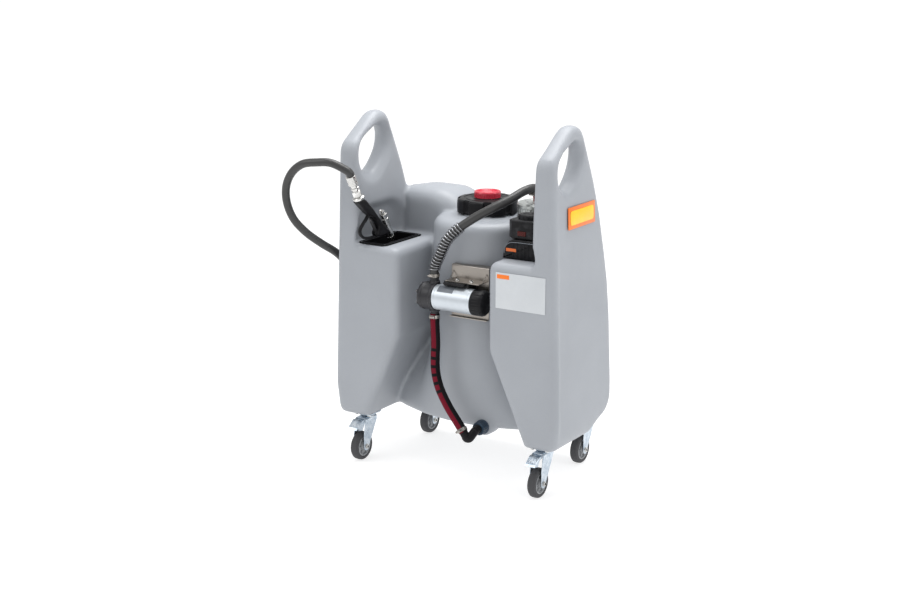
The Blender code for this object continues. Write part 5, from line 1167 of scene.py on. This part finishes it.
@dataclass
class FlowHead(Assembly):
    """The bright ribbed flow head on the right shoulder, its red-brown inlet stub and its rear hose tail."""

    floor: float = 0.7003
    tail_height: float = 0.724
    radius: float = 0.0545
    ribs: int = 32

    def build(self) -> None:
        """Body as a fluted turning with a lid ring, screws on the lid, stub and tail as turnings."""
        wave = np.clip(1.5 * np.cos(self.ribs * around(512)) + 0.2, 0, 1)
        h = FLOW_HEAD_TOP - self.floor
        r = self.radius
        x, y = FLOW_HEAD
        section = [(0, 0, 0), (r - 0.004, 0, 0), (r, 0.003, 0), (r, 0.008, 0), (r - 0.0015, 0.0095, 0),
                   (r - 0.0015, 0.011, 0.0010), (r - 0.0015, h - 0.017, 0.0010), (r - 0.0015, h - 0.0155, 0),
                   (r, h - 0.014, 0), (r, h - 0.006, 0), (r - 0.003, h - 0.002, 0), (r - 0.008, h - 0.0015, 0),
                   (r - 0.010, h, 0), (r - 0.020, h, 0), (r - 0.021, h - 0.001, 0), (0.016, h - 0.001, 0),
                   (0.0155, h, 0), (0, h, 0)]
        body = fluted(section, wave, frame_at((x, y, self.floor), (0, 0, 1)))
        boss = rod(0.014, (x, y, self.tail_height), (x, y + r + 0.006, self.tail_height), 0.001)
        self.add("flow_head_body", joined(body, boss), HEAD_METAL, "trolley", ("meter_body",))
        turn = np.radians(np.arange(45, 405, 90))
        spots = Plane.XY.laid(np.stack([x + 0.028 * np.cos(turn), y + 0.028 * np.sin(turn)], 1), FLOW_HEAD_TOP - 0.0012)
        heads = [screw(spot, (0, 0, 1), 0.0032, 0.0012) for spot in spots]
        self.add("flow_head_screws", joined(*heads), DARK_STEEL, "trolley")

        foot = np.array((x, y, FLOW_HEAD_TOP + GAP))
        collar = prism(hexagon(0.0135), Plane.XY, 0, 0.006, 0.0008, 2).moved(frame_at(foot, (0, 0, 1)))
        neck = revolved([(0, 0), (0.0095, 0), (0.0095, 0.010), (0.0088, 0.011), (0.0095, 0.016), (0, 0.016)],
                        frame_at(foot + STUB_LEAN * 0.006, STUB_LEAN), 32)
        self.add("flow_head_inlet", joined(collar, neck), RED_BROWN, "trolley", ("meter_inlet",))
        start = (x, y + r + 0.006 + GAP, self.tail_height)
        tail = [(0, 0), (0.0118, 0), (0.0125, 0.0008), (0.0125, 0.0092), (0.0118, 0.010), (0.0088, 0.011)]
        tail += [(0.0088 + 0.0007 * (k % 2), 0.013 + 0.004 * (k // 2) + 0.0004 * (k % 2)) for k in range(10)]
        tail += [(0.0085, 0.034), (0, 0.034)]
        self.add("flow_head_tail", revolved(tail, frame_at(start, (0, 1, 0)), 36), BLACK, "trolley", ("meter_outlet",))


@dataclass
class Nozzle(Assembly):
    """The hand nozzle in its holder: grip with guard, lever, valve body, spout, swivel and ferrule."""

    x: float = -0.236
    top: tuple = (-0.2095, 0.7500)
    lean: Array = field(default_factory=lambda: SWIVEL_LEAN)
    swivel_length: float = 0.046
    ferrule_length: float = 0.026
    pin: tuple = (-0.1330, 0.6480)
    valve_top: tuple = (-0.1030, 0.6990)
    valve_foot: tuple = (-0.0690, 0.6320)
    grip: tuple = (
        (-0.2277, 0.7480), (-0.2003, 0.7247), (-0.1827, 0.7112), (-0.1700, 0.7030), (-0.1575, 0.6980),
        (-0.1469, 0.6873), (-0.1349, 0.6678), (-0.1390, 0.6585), (-0.1430, 0.6520), (-0.1400, 0.6415),
        (-0.1250, 0.6385), (-0.0850, 0.6400), (-0.0840, 0.6520), (-0.1060, 0.6620), (-0.1164, 0.6764),
        (-0.1373, 0.6983), (-0.1632, 0.7239), (-0.1913, 0.7495), (-0.1990, 0.7540), (-0.2230, 0.7530),
    )
    guard: tuple = (
        (-0.171, 0.7065), (-0.182, 0.6950), (-0.198, 0.6835), (-0.2105, 0.6705), (-0.2085, 0.6575),
        (-0.1945, 0.6470), (-0.171, 0.6420), (-0.150, 0.6420), (-0.134, 0.6450),
    )
    lever: tuple = (
        (-0.1375, 0.6440), (-0.1390, 0.6520), (-0.1455, 0.6620), (-0.1570, 0.6800), (-0.1650, 0.6915),
        (-0.1612, 0.6945), (-0.1525, 0.6835), (-0.1400, 0.6640), (-0.1290, 0.6520), (-0.1285, 0.6450),
    )

    def at(self, yz: tuple) -> Array:
        """A point in the nozzle's middle plane."""
        return np.array((self.x, *yz))

    def swivel_foot(self) -> Array:
        """Where the swivel stands on the grip."""
        return self.at(self.top) + self.lean * (0.004 + GAP)

    def ferrule_end(self) -> Array:
        """Where the delivery hose ends."""
        return self.swivel_foot() + self.lean * (self.swivel_length + self.ferrule_length + 2 * GAP)

    def valve_line(self) -> tuple[Array, Array]:
        """The top of the valve body, and its direction."""
        top, low = self.at(self.valve_top), self.at(self.valve_foot)
        return top, (low - top) / np.linalg.norm(low - top)

    def body_mesh(self) -> bpy.types.Mesh:
        """Grip with swelled sides and its guard loop under one skin, less the lever's slot and the swivel's seat."""
        half = 0.013
        outline = softened(np.array(self.grip), 0.012, 5, closed=True)
        grip = prism(outline, Plane.YZ, self.x - half, self.x + half, 0.0065, 5)
        route = smooth_route([self.at(point) for point in self.guard], 0.002)
        loop = swept(route, 0.0040, 18, (1.0, 0.0, 0.0))
        loop.points[:, 0] = self.x + (loop.points[:, 0] - self.x) * 1.45
        swell = rod(0.0145, self.at((-0.118, 0.6645)), self.at((-0.096, 0.6440)), 0.004)
        swell.points[:, 0] = self.x + (swell.points[:, 0] - self.x) * 0.88
        slot = [(-0.150, 0.630), (-0.150, 0.668), (-0.128, 0.668), (-0.122, 0.655), (-0.122, 0.630)]
        slot = prism(slot, Plane.YZ, self.x - 0.0051, self.x + 0.0051)
        foot = self.swivel_foot() - self.lean * GAP
        room = rod(0.020, foot, foot + self.lean * 0.02)
        top, ahead = self.valve_line()
        bore = rod(0.0113, top, self.at(self.valve_foot) + ahead * 0.02)
        return fused([grip, loop, swell], 0.00115, 4, (slot, room, bore))

    def lever_pieces(self) -> None:
        """The lever as a plate with soft edges, and its pin with a head on each side."""
        half, side = 0.0045, 0.0128
        outline = softened(self.lever, 0.004, 4, closed=True)
        lever = prism(outline, Plane.YZ, self.x - half, self.x + half, 0.0012, 3)
        self.add("nozzle_trigger", lever, LEVER, "lever", ("nozzle_lever",))
        ends = [self.at(self.pin) + (at, 0, 0) for at in (-side, side)]
        heads = [rod(0.0028, end, end + (at, 0, 0), 0.0001, 20) for end, at in zip(ends, (0.0006, -0.0006))]
        pin = joined(rod(0.002, *ends, 0.0003, 20), *heads)
        self.add("trigger_pin", pin, DARK_STEEL, "nozzle", ("lever_pin",))

    def valve_pieces(self) -> None:
        """The valve body as a turning with a wire hook, and the spout as a bent tube with a collar."""
        (top, ahead), low = self.valve_line(), self.at(self.valve_foot)
        reach = float(np.linalg.norm(low - top))
        section = [(0, -0.009), (0.0055, -0.009), (0.0065, -0.0080), (0.0065, -0.002), (0.0045, -0.001), (0.0045, 0),
                   (0.0095, 0), (0.0110, 0.0015), (0.0110, 0.012), (0.0098, 0.013), (0.0098, 0.015), (0.0110, 0.016),
                   (0.0110, reach - 0.001), (0.0102, reach), (0, reach)]
        route = [(-0.006, 0, 0), (-0.0095, -0.003, 0.001), (-0.0085, -0.010, 0.001), (-0.001, -0.0125, -0.001),
                 (0.004, -0.010, -0.001)]
        route = smooth_route([top + ahead * on + (0, y, z) for on, y, z in route], 0.001)
        valve = joined(revolved(section, frame_at(top, ahead)), swept(route, 0.0022, 14, (1.0, 0.0, 0.0)))
        self.add("nozzle_valve_body", valve, BRIGHT, "nozzle", ("nozzle_valve",))

        start, bend = low + ahead * GAP, low + ahead * 0.008
        tip_y, floor, radius = -0.0535, LEDGE - 0.0457, 0.008
        drop, lean_y = bend[2] - floor, tip_y - bend[1]
        tip = self.at((tip_y, floor + GAP + radius * lean_y / math.hypot(lean_y, drop)))
        collar = rod(0.010, start, start + ahead * 0.008, 0.001)
        path = smooth_route(softened([bend - ahead * 0.006, bend, tip], 0.02, 10), 0.002)
        radii = np.interp(np.linspace(0, 1, len(path)), [0, 0.96, 1], [radius, radius, 0.0072])
        spout = joined(collar, swept(path, radii, 32, (1.0, 0, 0)))
        self.add("nozzle_spout_tube", spout, BRIGHT, "nozzle", ("nozzle_spout",))

    def swivel_pieces(self) -> None:
        """The swivel as turnings round a nut, and the ferrule with its crimps."""
        foot, end = self.swivel_foot(), self.swivel_length
        base = [(0, 0), (0.0148, 0), (0.0160, 0.0012), (0.0165, 0.002), (0.0165, 0.0068), (0.0155, 0.008),
                (0.0125, 0.009), (0.0105, 0.0095), (0, 0.0095)]
        nut = prism(hexagon(0.0125), Plane.XY, 0.0105, 0.0255, 0.0009, 3)
        neck = [(0, 0.009), (0.0100, 0.009), (0.0100, 0.027), (0.0085, 0.028), (0.0085, 0.031), (0.0112, 0.032),
                (0.0112, 0.037), (0.0095, 0.038), (0.0095, end), (0, end)]
        swivel = joined(revolved(base), nut, revolved(neck)).moved(frame_at(foot, self.lean))
        self.add("swivel_joint", swivel, BRIGHT, "swivel", ("nozzle_swivel",))

        end = self.ferrule_length
        sleeve = [(0, 0, 0), (0.0125, 0, 0), (0.0135, 0.001, 0), (0.0135, 0.003, 0), (0.0133, 0.005, 0.0008),
                  (0.0133, 0.010, 0.0008), (0.0135, 0.0118, 0), (0.0135, 0.0130, 0), (0.0133, 0.0145, 0.0008),
                  (0.0133, 0.0205, 0.0008), (0.0135, 0.0225, 0), (0.0135, 0.0252, 0), (0.0128, end, 0),
                  (0.0111, end, 0), (0, end, 0)]
        wave = np.clip(2 * np.cos(8 * around(128)), 0, 1)
        place = frame_at(foot + self.lean * (self.swivel_length + GAP), self.lean)
        self.add("crimped_ferrule", fluted(sleeve, wave, place), BRIGHT, "swivel", ("hose_ferrule",))

    def build(self) -> None:
        """Builds the nozzle's own pieces and the two that turn with the hose."""
        self.add("nozzle_grip", self.body_mesh(), BLACK, "nozzle", ("nozzle_body",), crease=40)
        self.lever_pieces()
        self.valve_pieces()
        self.swivel_pieces()


@dataclass
class DeliveryHose(Assembly):
    """The free delivery hose, from the flow head's tail round the back to the nozzle's ferrule."""

    width: float = 0.022
    end: Array = field(default_factory=lambda: Nozzle().ferrule_end())
    exit: tuple = (0.160, 0.1448 + GAP, 0.724)
    route: tuple = (
        (0.160, 0.1848, 0.724), (0.160, 0.229, 0.712), (0.159, 0.2625, 0.6805), (0.155, 0.279, 0.638),
        (0.148, 0.287, 0.588), (0.130, 0.292, 0.510), (0.100, 0.294, 0.410), (0.048, 0.296, 0.310),
        (-0.025, 0.302, 0.235), (-0.115, 0.308, 0.198), (-0.205, 0.300, 0.196), (-0.285, 0.272, 0.222),
        (-0.338, 0.215, 0.268), (-0.362, 0.140, 0.328), (-0.365, 0.060, 0.398), (-0.362, -0.020, 0.470),
        (-0.361, -0.090, 0.535), (-0.365, -0.140, 0.580),
        (-0.388, -0.180, 0.612), (-0.415, -0.212, 0.645), (-0.437, -0.238, 0.685), (-0.446, -0.254, 0.732),
        (-0.439, -0.264, 0.778), (-0.413, -0.272, 0.818), (-0.374, -0.276, 0.845), (-0.330, -0.272, 0.853),
        (-0.287, -0.262, 0.853),
    )

    def build(self) -> None:
        points = [self.exit, *self.route, self.end + SWIVEL_LEAN * 0.012, self.end]
        path = smooth_route(points, 0.006)
        mesh = swept(path, self.width / 2, 28, (0.0, 0.0, 1.0)).mesh("delivery_hose_black")
        hose = placed("delivery_hose_black", mesh)
        mesh.shade_smooth()
        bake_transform(hose)
        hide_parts("delivery_hose")
        self.made.append((hose, HOSE))


@dataclass
class Battery(Assembly):
    """The battery dock on the right ledge with its pack, the pack's round boss and the release button."""

    dock_x: tuple = (0.150, 0.256)
    dock_y: tuple = (-0.118, -0.022)
    dock_height: float = 0.052
    pack_x: tuple = (0.159, 0.249)
    pack_y: tuple = (-0.111, -0.029)
    pack_height: float = 0.050
    boss: float = 0.030

    def build(self) -> None:
        """Dock with rails and coloured trim, pack with chamfered corners and a fluted boss, and the button."""
        low, x0, x1 = LEDGE + GAP, *self.dock_x
        top = low + self.dock_height
        outline = [(x0, low), (x1, low), (x1, top), (x0 + 0.030, top), (x0 + 0.018, top - 0.006),
                   (x0 + 0.008, top - 0.018), (x0 + 0.002, top - 0.036)]
        dock = prism(softened(outline, [0.002, 0.002, 0.004, 0.012, 0.012, 0.012, 0.01], 6, closed=True),
                     Plane.XZ, *self.dock_y, 0.004, 4)
        front = self.dock_y[0]
        rib = box((x0 + 0.030, x0 + 0.0345), (front - 0.0008, front + 0.002), (low + 0.006, top - 0.008), 0.0006)
        ribs = [rib.shifted(0.011 * k) for k in range(6)]
        self.add("battery_dock_base", joined(dock, *ribs), BLACK, "trolley", ("battery_dock",))
        # A thin bluish grey bead swept along the dock's arched front edge: a painted highlight on the black rim, not a
        # part of its own.
        arch = np.array([(0.006, 0.014), (0.009, 0.030), (0.017, 0.040), (0.030, 0.0445), (0.060, 0.0455),
                         (x1 - x0 - 0.010, 0.0455)])
        arch = smooth_route(Plane.XZ.laid(arch + (x0, low), front), 0.002)
        self.add("battery_dock_painted_highlight", swept(arch, 0.0010, 10, (0, -1, 0)), PLATE_GREY, "trolley")
        trim = box((x0 + 0.012, x0 + 0.042), (front - 0.0010, front + 0.001), (low + 0.020, low + 0.0285), 0.0007)
        self.add("battery_dock_trim", trim, TRIM_ORANGE, "trolley")

        base = top + GAP
        roof = base + self.pack_height
        (u0, u1), (v0, v1), c = self.pack_x, self.pack_y, 0.014
        plan = [(u0 + c, v0), (u1 - c, v0), (u1, v0 + c), (u1, v1), (u0, v1), (u0, v0 + c)]
        plan = softened(plan, 0.004, 5, closed=True)
        body = prism(plan, Plane.XY, base, roof, 0.005, 4)
        belt = prism(inset(plan, 0.0012), Plane.XY, base + 0.014, base + 0.017, 0.0)
        middle = np.array(((u0 + u1) / 2, (v0 + v1) / 2, 0))
        wave = np.clip(2 * np.cos(12 * around(192)), -0.2, 1)
        crown = [(0, roof - 0.01, 0), (self.boss, roof - 0.01, 0.001), (self.boss, roof + 0.007, 0.001),
                 (self.boss - 0.001, roof + 0.0095, 0.0006), (self.boss - 0.004, roof + 0.012, 0),
                 (0.018, roof + 0.012, 0), (0.0165, roof + 0.0108, 0), (0, roof + 0.0108, 0)]
        x = (u0 + u1) / 2
        room = box((x - 0.0126, x + 0.0126), (v0 - 0.01, v0 + 0.0075), (base + 0.0094, base + 0.0226))
        case = worked(joined(body, belt).mesh("case"), (room.mesh("room"),))
        self.add("battery_case", case, BLACK, "pack", ("battery_pack",), bevel=0.0003)
        self.add("battery_crown", fluted(crown, wave).shifted(*middle), BLACK, "pack")
        button = box((x - 0.012, x + 0.012), (v0 - 0.002, v0 + 0.0035), (base + 0.010, base + 0.022), 0.001)
        ridges = [box((x - 0.008, x + 0.008), (v0 - 0.0024, v0 - 0.0012), (base + z, base + z + 0.0012), 0.0003)
                  for z in (0.0125, 0.0154, 0.0183)]
        self.add("battery_release", joined(button, *ridges), LATCH_RED, "latch", ("battery_latch",))


@dataclass
class Plates(Assembly):
    """The blank white label on the right box and the blank two-colour sign on the right tower."""

    label_x: tuple = (0.167, 0.313)
    label_z: tuple = (0.504, 0.599)
    sign_y: tuple = (-0.106, 0.040)
    sign_z: tuple = (0.7125, 0.7695)
    sign_border: float = 0.010

    def build(self) -> None:
        """Thin plates with round corners; the sign's plates lean with the tower's face."""
        face = TANK_FRONT - GAP
        plate = prism(rectangle(self.label_x, self.label_z, 0.002), Plane.XZ, face - 0.001, face, 0.0003, 2)
        self.add("blank_label", plate, LABEL, "trolley", ("label_plate",))
        left, top = self.label_x[0], self.label_z[1]
        corner = rectangle((left + 0.004, left + 0.040), (top - 0.016, top - 0.005), 0.001)
        corner = prism(corner, Plane.XZ, face - 0.0013, face - 0.0009)
        self.add("label_corner_field", corner, ORANGE, "trolley")
        middle = sum(self.sign_z) / 2
        start = float(tower_outer(np.array(middle))) + GAP
        end = start + 0.0015
        sign = prism(rectangle(self.sign_y, self.sign_z, 0.003), Plane.YZ, start, end, 0.0003, 2)
        border = self.sign_border
        inner = [(low + border, high - border) for low, high in (self.sign_y, self.sign_z)]
        inlay = prism(rectangle(*inner, border, 8), Plane.YZ, end + GAP, end + GAP + 0.0008, 0.0002, 2)
        for shape in (sign, inlay):
            shape.points[:, 0] -= DRAFT * (shape.points[:, 2] - middle)
        self.add("sign_plate", sign, ORANGE, "trolley", ("end_plate",))
        self.add("sign_field", inlay, YELLOW, "trolley", ("end_plate_inlay",))


@dataclass
class Caster(Assembly):
    """One swivel caster: plate with ball race, bent fork, tyre, hub, axle, and a brake pedal on the front ones."""

    corner: str = "front_left"
    x: float = 0.0
    y: float = 0.0
    trail: float = 0.030
    wheel: float = 0.040
    plate: float = 0.060
    gap: float = 0.0315
    sheet: float = 0.0025

    def fork(self, top: float) -> Shape:
        """The fork as one bent sheet: up one leg, over the crown and down the other.

        Args:
            top: height of the crown's upper face.
        Returns:
            The sheet. At a height z its front edge runs from the axle's eye up to the crown, its rear edge
            slants back; round the eye both close in as c +- sqrt(r^2 - (z - axle)^2).
        """
        half, bend = self.gap / 2 + self.sheet / 2, 0.006
        low, high = self.wheel - 0.0120, top - self.sheet / 2
        rise = np.linspace(0, 1, 22) ** 1.4
        leg = np.stack([np.full(22, -half), low + 0.00002 + (high - bend - low) * rise], axis=1)
        turn = np.radians(np.linspace(180, 90, 6)[1:])
        arc = np.stack([-half + bend + bend * np.cos(turn), high - bend + bend * np.sin(turn)], axis=1)
        left = np.vstack([leg, arc])
        path = np.vstack([left, left[::-1] * (-1, 1)])
        z = path[:, 1]
        front = np.interp(z, [self.wheel, self.wheel + 0.030, top - 0.008, top], [-0.042, -0.042, -0.034, -0.030])
        rear = np.interp(z, [self.wheel + 0.002, top - 0.016, top - 0.010, top], [-0.0175, 0.0195, 0.022, 0.022])
        eye = np.sqrt(np.maximum(0.0121**2 - np.minimum(z - self.wheel, 0.0) ** 2, 1e-8))
        front = np.where(z < self.wheel, -self.trail - eye, front)
        rear = np.where(z < self.wheel, -self.trail + eye, np.maximum(rear, -self.trail + 0.0121))
        return strip(path, (front, rear), self.sheet, Plane.XZ)

    def place(self, shape: Shape) -> Shape:
        """A shape made about the swivel axis at floor height, moved to this caster."""
        return shape.shifted(self.x, self.y)

    def build(self) -> None:
        """Builds the caster's pieces about its swivel axis and moves them to its corner."""
        c = f"caster_{self.corner}"
        top = UNDERSIDE - GAP
        low = top - 0.003
        half = self.plate / 2
        plate = prism(rectangle((-half, half), (-half, half), 0.006, 5), Plane.XY, low, top, 0.0005, 2)
        race = [(0, low + 0.001), (0.0235, low + 0.0005), (0.0235, low - 0.0006), (0.0215, low - 0.0030),
                (0.0205, low - 0.0036), (0.0210, low - 0.0050), (0.0200, low - 0.0074), (0.0185, low - 0.008),
                (0, low - 0.008)]
        heads = [bolt((u * 0.022, v * 0.022, low), (0, 0, -1)) for u in (-1, 1) for v in (-1, 1)]
        plate = self.place(joined(plate, revolved(race)))
        self.add(f"{c}_top_plate", plate, ZINC, "trolley", (f"{c}_plate",), bevel=0.0003)
        self.add(f"{c}_bolts", self.place(joined(*heads)), BRIGHT, "trolley")

        crown = low - 0.008 - GAP
        king = [(0, -0.0062), (0.0050, -0.0062), (0.0062, -0.005), (0.0066, -0.0022), (0, -0.0022)]
        lip = [(0.0150, -0.0002), (0.0205, -0.0002), (0.0195, -0.0040), (0.0150, -0.0040)]
        pivot = joined(revolved(king), revolved(lip, looped=True)).shifted(z=crown)
        fork = self.place(joined(self.fork(crown), pivot))
        self.add(f"{c}_bent_fork", fork, ZINC, f"fork_{self.corner}", (f"{c}_fork",), crease=40)

        hub_at = frame_at((0, -self.trail, self.wheel), (1, 0, 0), (0, 1, 0))
        r, w = self.wheel, 0.0125
        inner = r - 0.011
        t = np.linspace(-1, 1, 15)
        tread = np.stack([r - 0.0010 * np.abs(t) ** 3, 0.0085 * -t], axis=1)
        tyre = [*tread, (r - 0.0035, -0.0112), (r - 0.0065, -w), (inner + 0.002, -w), (inner, -w + 0.001),
                (inner, w - 0.001), (inner + 0.002, w), (r - 0.0065, w), (r - 0.0035, 0.0112)]
        wheel = f"wheel_{self.corner}"
        self.add(f"{c}_tyre_round", self.place(revolved(tyre, hub_at, 64, looped=True)), TYRE, wheel, (f"{c}_tyre",))
        rim = inner - GAP
        side = [(rim, w - 0.002), (rim - 0.0035, w - 0.002), (rim - 0.005, w - 0.007), (0.0135, w - 0.0065),
                (0.0125, w - 0.001), (0.0100, 0.014), (0.0046, 0.014)]
        hub = revolved([*side, *[(radius, -x) for radius, x in reversed(side)]], hub_at, looped=True)
        bars = [box((0.011, rim - 0.001), (-0.0013, 0.0013), ends, 0.0005)
                for ends in ((w - 0.0075, w - 0.0030), (0.0030 - w, 0.0075 - w))]
        turns = [np.array(Matrix.Rotation(math.radians(60 * k), 4, "Z")) for k in range(6)]
        spokes = [bar.moved(turn).moved(hub_at) for turn in turns for bar in bars]
        self.add(f"{c}_hub_ribbed", self.place(joined(hub, *spokes)), HUB, wheel, (f"{c}_hub",))
        reach = self.gap / 2 + self.sheet + GAP
        axle = [rod(0.004, (-reach, -self.trail, self.wheel), (reach, -self.trail, self.wheel), sides=24)]
        seat = reach - 0.0001
        axle += [bolt((at * seat, -self.trail, self.wheel), (at, 0, 0), 0.0062, 0.0042) for at in (-1, 1)]
        self.add(f"{c}_axle_bolt", self.place(joined(*axle)), BRIGHT, wheel, (f"{c}_axle",))
        if self.corner.startswith("front"):
            self.pedal(c, crown - self.sheet)

    def pedal(self, c: str, crown_low: float) -> None:
        """The brake pedal: a bent strip with a rolled lip, side flanges and a pressed rib.

        Args:
            c: the start of the piece's name.
            crown_low: height of the crown's lower face.
        """
        hinge = np.array((-self.trail - 0.002, crown_low - 0.003))
        half, thin = self.gap / 2 - 0.0006, 0.0016
        line = [(0.004, 0), (-0.0165, 0.0002), (-0.0375, -0.0150), (-0.0415, -0.0205)]
        sheet = strip(softened(line, [0, 0.008, 0.004, 0], 8) + hinge, (-half, half), 0.0022, Plane.YZ)
        line = [(-0.004, 0.0014), (-0.0165, 0.0016), (-0.0330, -0.0108)]
        rib = strip(softened(line, 0.008, 8) + hinge, (-0.006, 0.006), thin, Plane.YZ)
        edge = [(-0.034, -0.0130), (-0.0165, -0.0005), (-0.001, -0.0008), (-0.001, -0.0048), (-0.020, -0.0075),
                (-0.0335, -0.0165)]
        edge = softened(edge, 0.001, 4, closed=True) + hinge
        flanges = [prism(edge, Plane.YZ, x, x + thin, 0.0003, 2) for x in (-half, half - thin)]
        pedal = self.place(joined(sheet, rib, *flanges))
        self.add(f"{c}_pedal_bent", pedal, ZINC, f"pedal_{self.corner}", (f"{c}_brake_pedal",), crease=40)


@dataclass(frozen=True)
class Studio:
    """Camera, floor and soft light."""

    place: tuple = (2.220, -3.658, 1.5225)
    azimuth: float = 32.21
    elevation: float = 13.88
    focal: float = 1613.3
    width: float = 900.0
    film: float = 36.0
    glow: float = 0.70
    shades: tuple = ((0.44, 0.44, 0.44), (0.47, 0.47, 0.47))

    def camera(self) -> None:
        """The camera at the photograph's angle: its back axis is (sin a cos e, -cos a cos e, sin e)."""
        a, e = math.radians(self.azimuth), math.radians(self.elevation)
        back = Vector((math.sin(a) * math.cos(e), -math.cos(a) * math.cos(e), math.sin(e)))
        right = Vector((math.cos(a), math.sin(a), 0))
        data = bpy.data.cameras.new("camera")
        data.sensor_width = self.film
        data.lens = self.focal / self.width * self.film
        obj = placed("camera", data)
        turn = Matrix((right, back.cross(right), back)).transposed().to_4x4()
        obj.matrix_world = Matrix.Translation(self.place) @ turn
        bpy.context.scene.camera = obj

    def floor(self) -> None:
        """A pale floor that glows a little, wide enough to fill the view."""
        size = 40.0
        mesh = bpy.data.meshes.new("floor")
        mesh.from_pydata([(-size, -size, 0), (size, -size, 0), (size, size, 0), (-size, size, 0)], [], [(0, 1, 2, 3)])
        obj = placed("floor", mesh)
        bench = Bench("pale_floor")
        bench.wire(Base_Color=bench.mixed(bench.noise(1.2, 3.0), *self.shades))
        bench.shader.inputs["Roughness"].default_value = 0.9
        bench.shader.inputs["Emission Color"].default_value = (1.0, 1.0, 1.0, 1.0)
        bench.shader.inputs["Emission Strength"].default_value = self.glow
        mesh.materials.append(bench.material)

    def light(self, name: str, place: tuple, size: float, power: float) -> None:
        """A square soft light that faces the trolley's middle.

        Args:
            name: the light's name.
            place: where it stands.
            size: its width.
            power: in watts.
        """
        data = bpy.data.lights.new(name, "AREA")
        data.shape, data.size, data.energy = "SQUARE", size, power
        obj = placed(name, data)
        obj.location = place
        obj.rotation_euler = (Vector((0, 0, 0.45)) - Vector(place)).to_track_quat("-Z", "Y").to_euler()

    def build(self) -> None:
        """Sets up camera, floor, world and lights."""
        self.camera()
        self.floor()
        world = bpy.data.worlds.new("studio")
        world.use_nodes = True
        background = world.node_tree.nodes["Background"]
        background.inputs["Color"].default_value = (1.0, 1.0, 1.0, 1.0)
        background.inputs["Strength"].default_value = self.glow
        bpy.context.scene.world = world
        bpy.context.scene.view_settings.view_transform = "Standard"
        self.light("key", (-2.2, -2.6, 3.2), 2.2, 38.0)
        self.light("side", (3.6, 0.2, 2.4), 2.2, 34.0)
        self.light("top", (0.0, 0.5, 3.6), 2.2, 112.0)


def main() -> None:
    """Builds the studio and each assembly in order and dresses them."""
    logging.basicConfig(level=logging.INFO, format="%(name)s: %(message)s")
    Studio().build()
    corners = {"front_left": (-0.283, -0.121), "front_right": (0.283, -0.121),
               "rear_left": (-0.249, 0.180), "rear_right": (0.249, 0.180)}
    assemblies: list[Assembly] = [Nozzle(), DeliveryHose(), Hoses(), Tank(), Holder(), Filler(), Outlet(), Pump(),
                                  FlowHead(), Battery(), Plates()]
    assemblies += [Caster(corner=corner, x=x, y=y) for corner, (x, y) in corners.items()]
    for assembly in assemblies:
        assembly.build()
        assembly.dress()


if __name__ == "__main__":
    main()
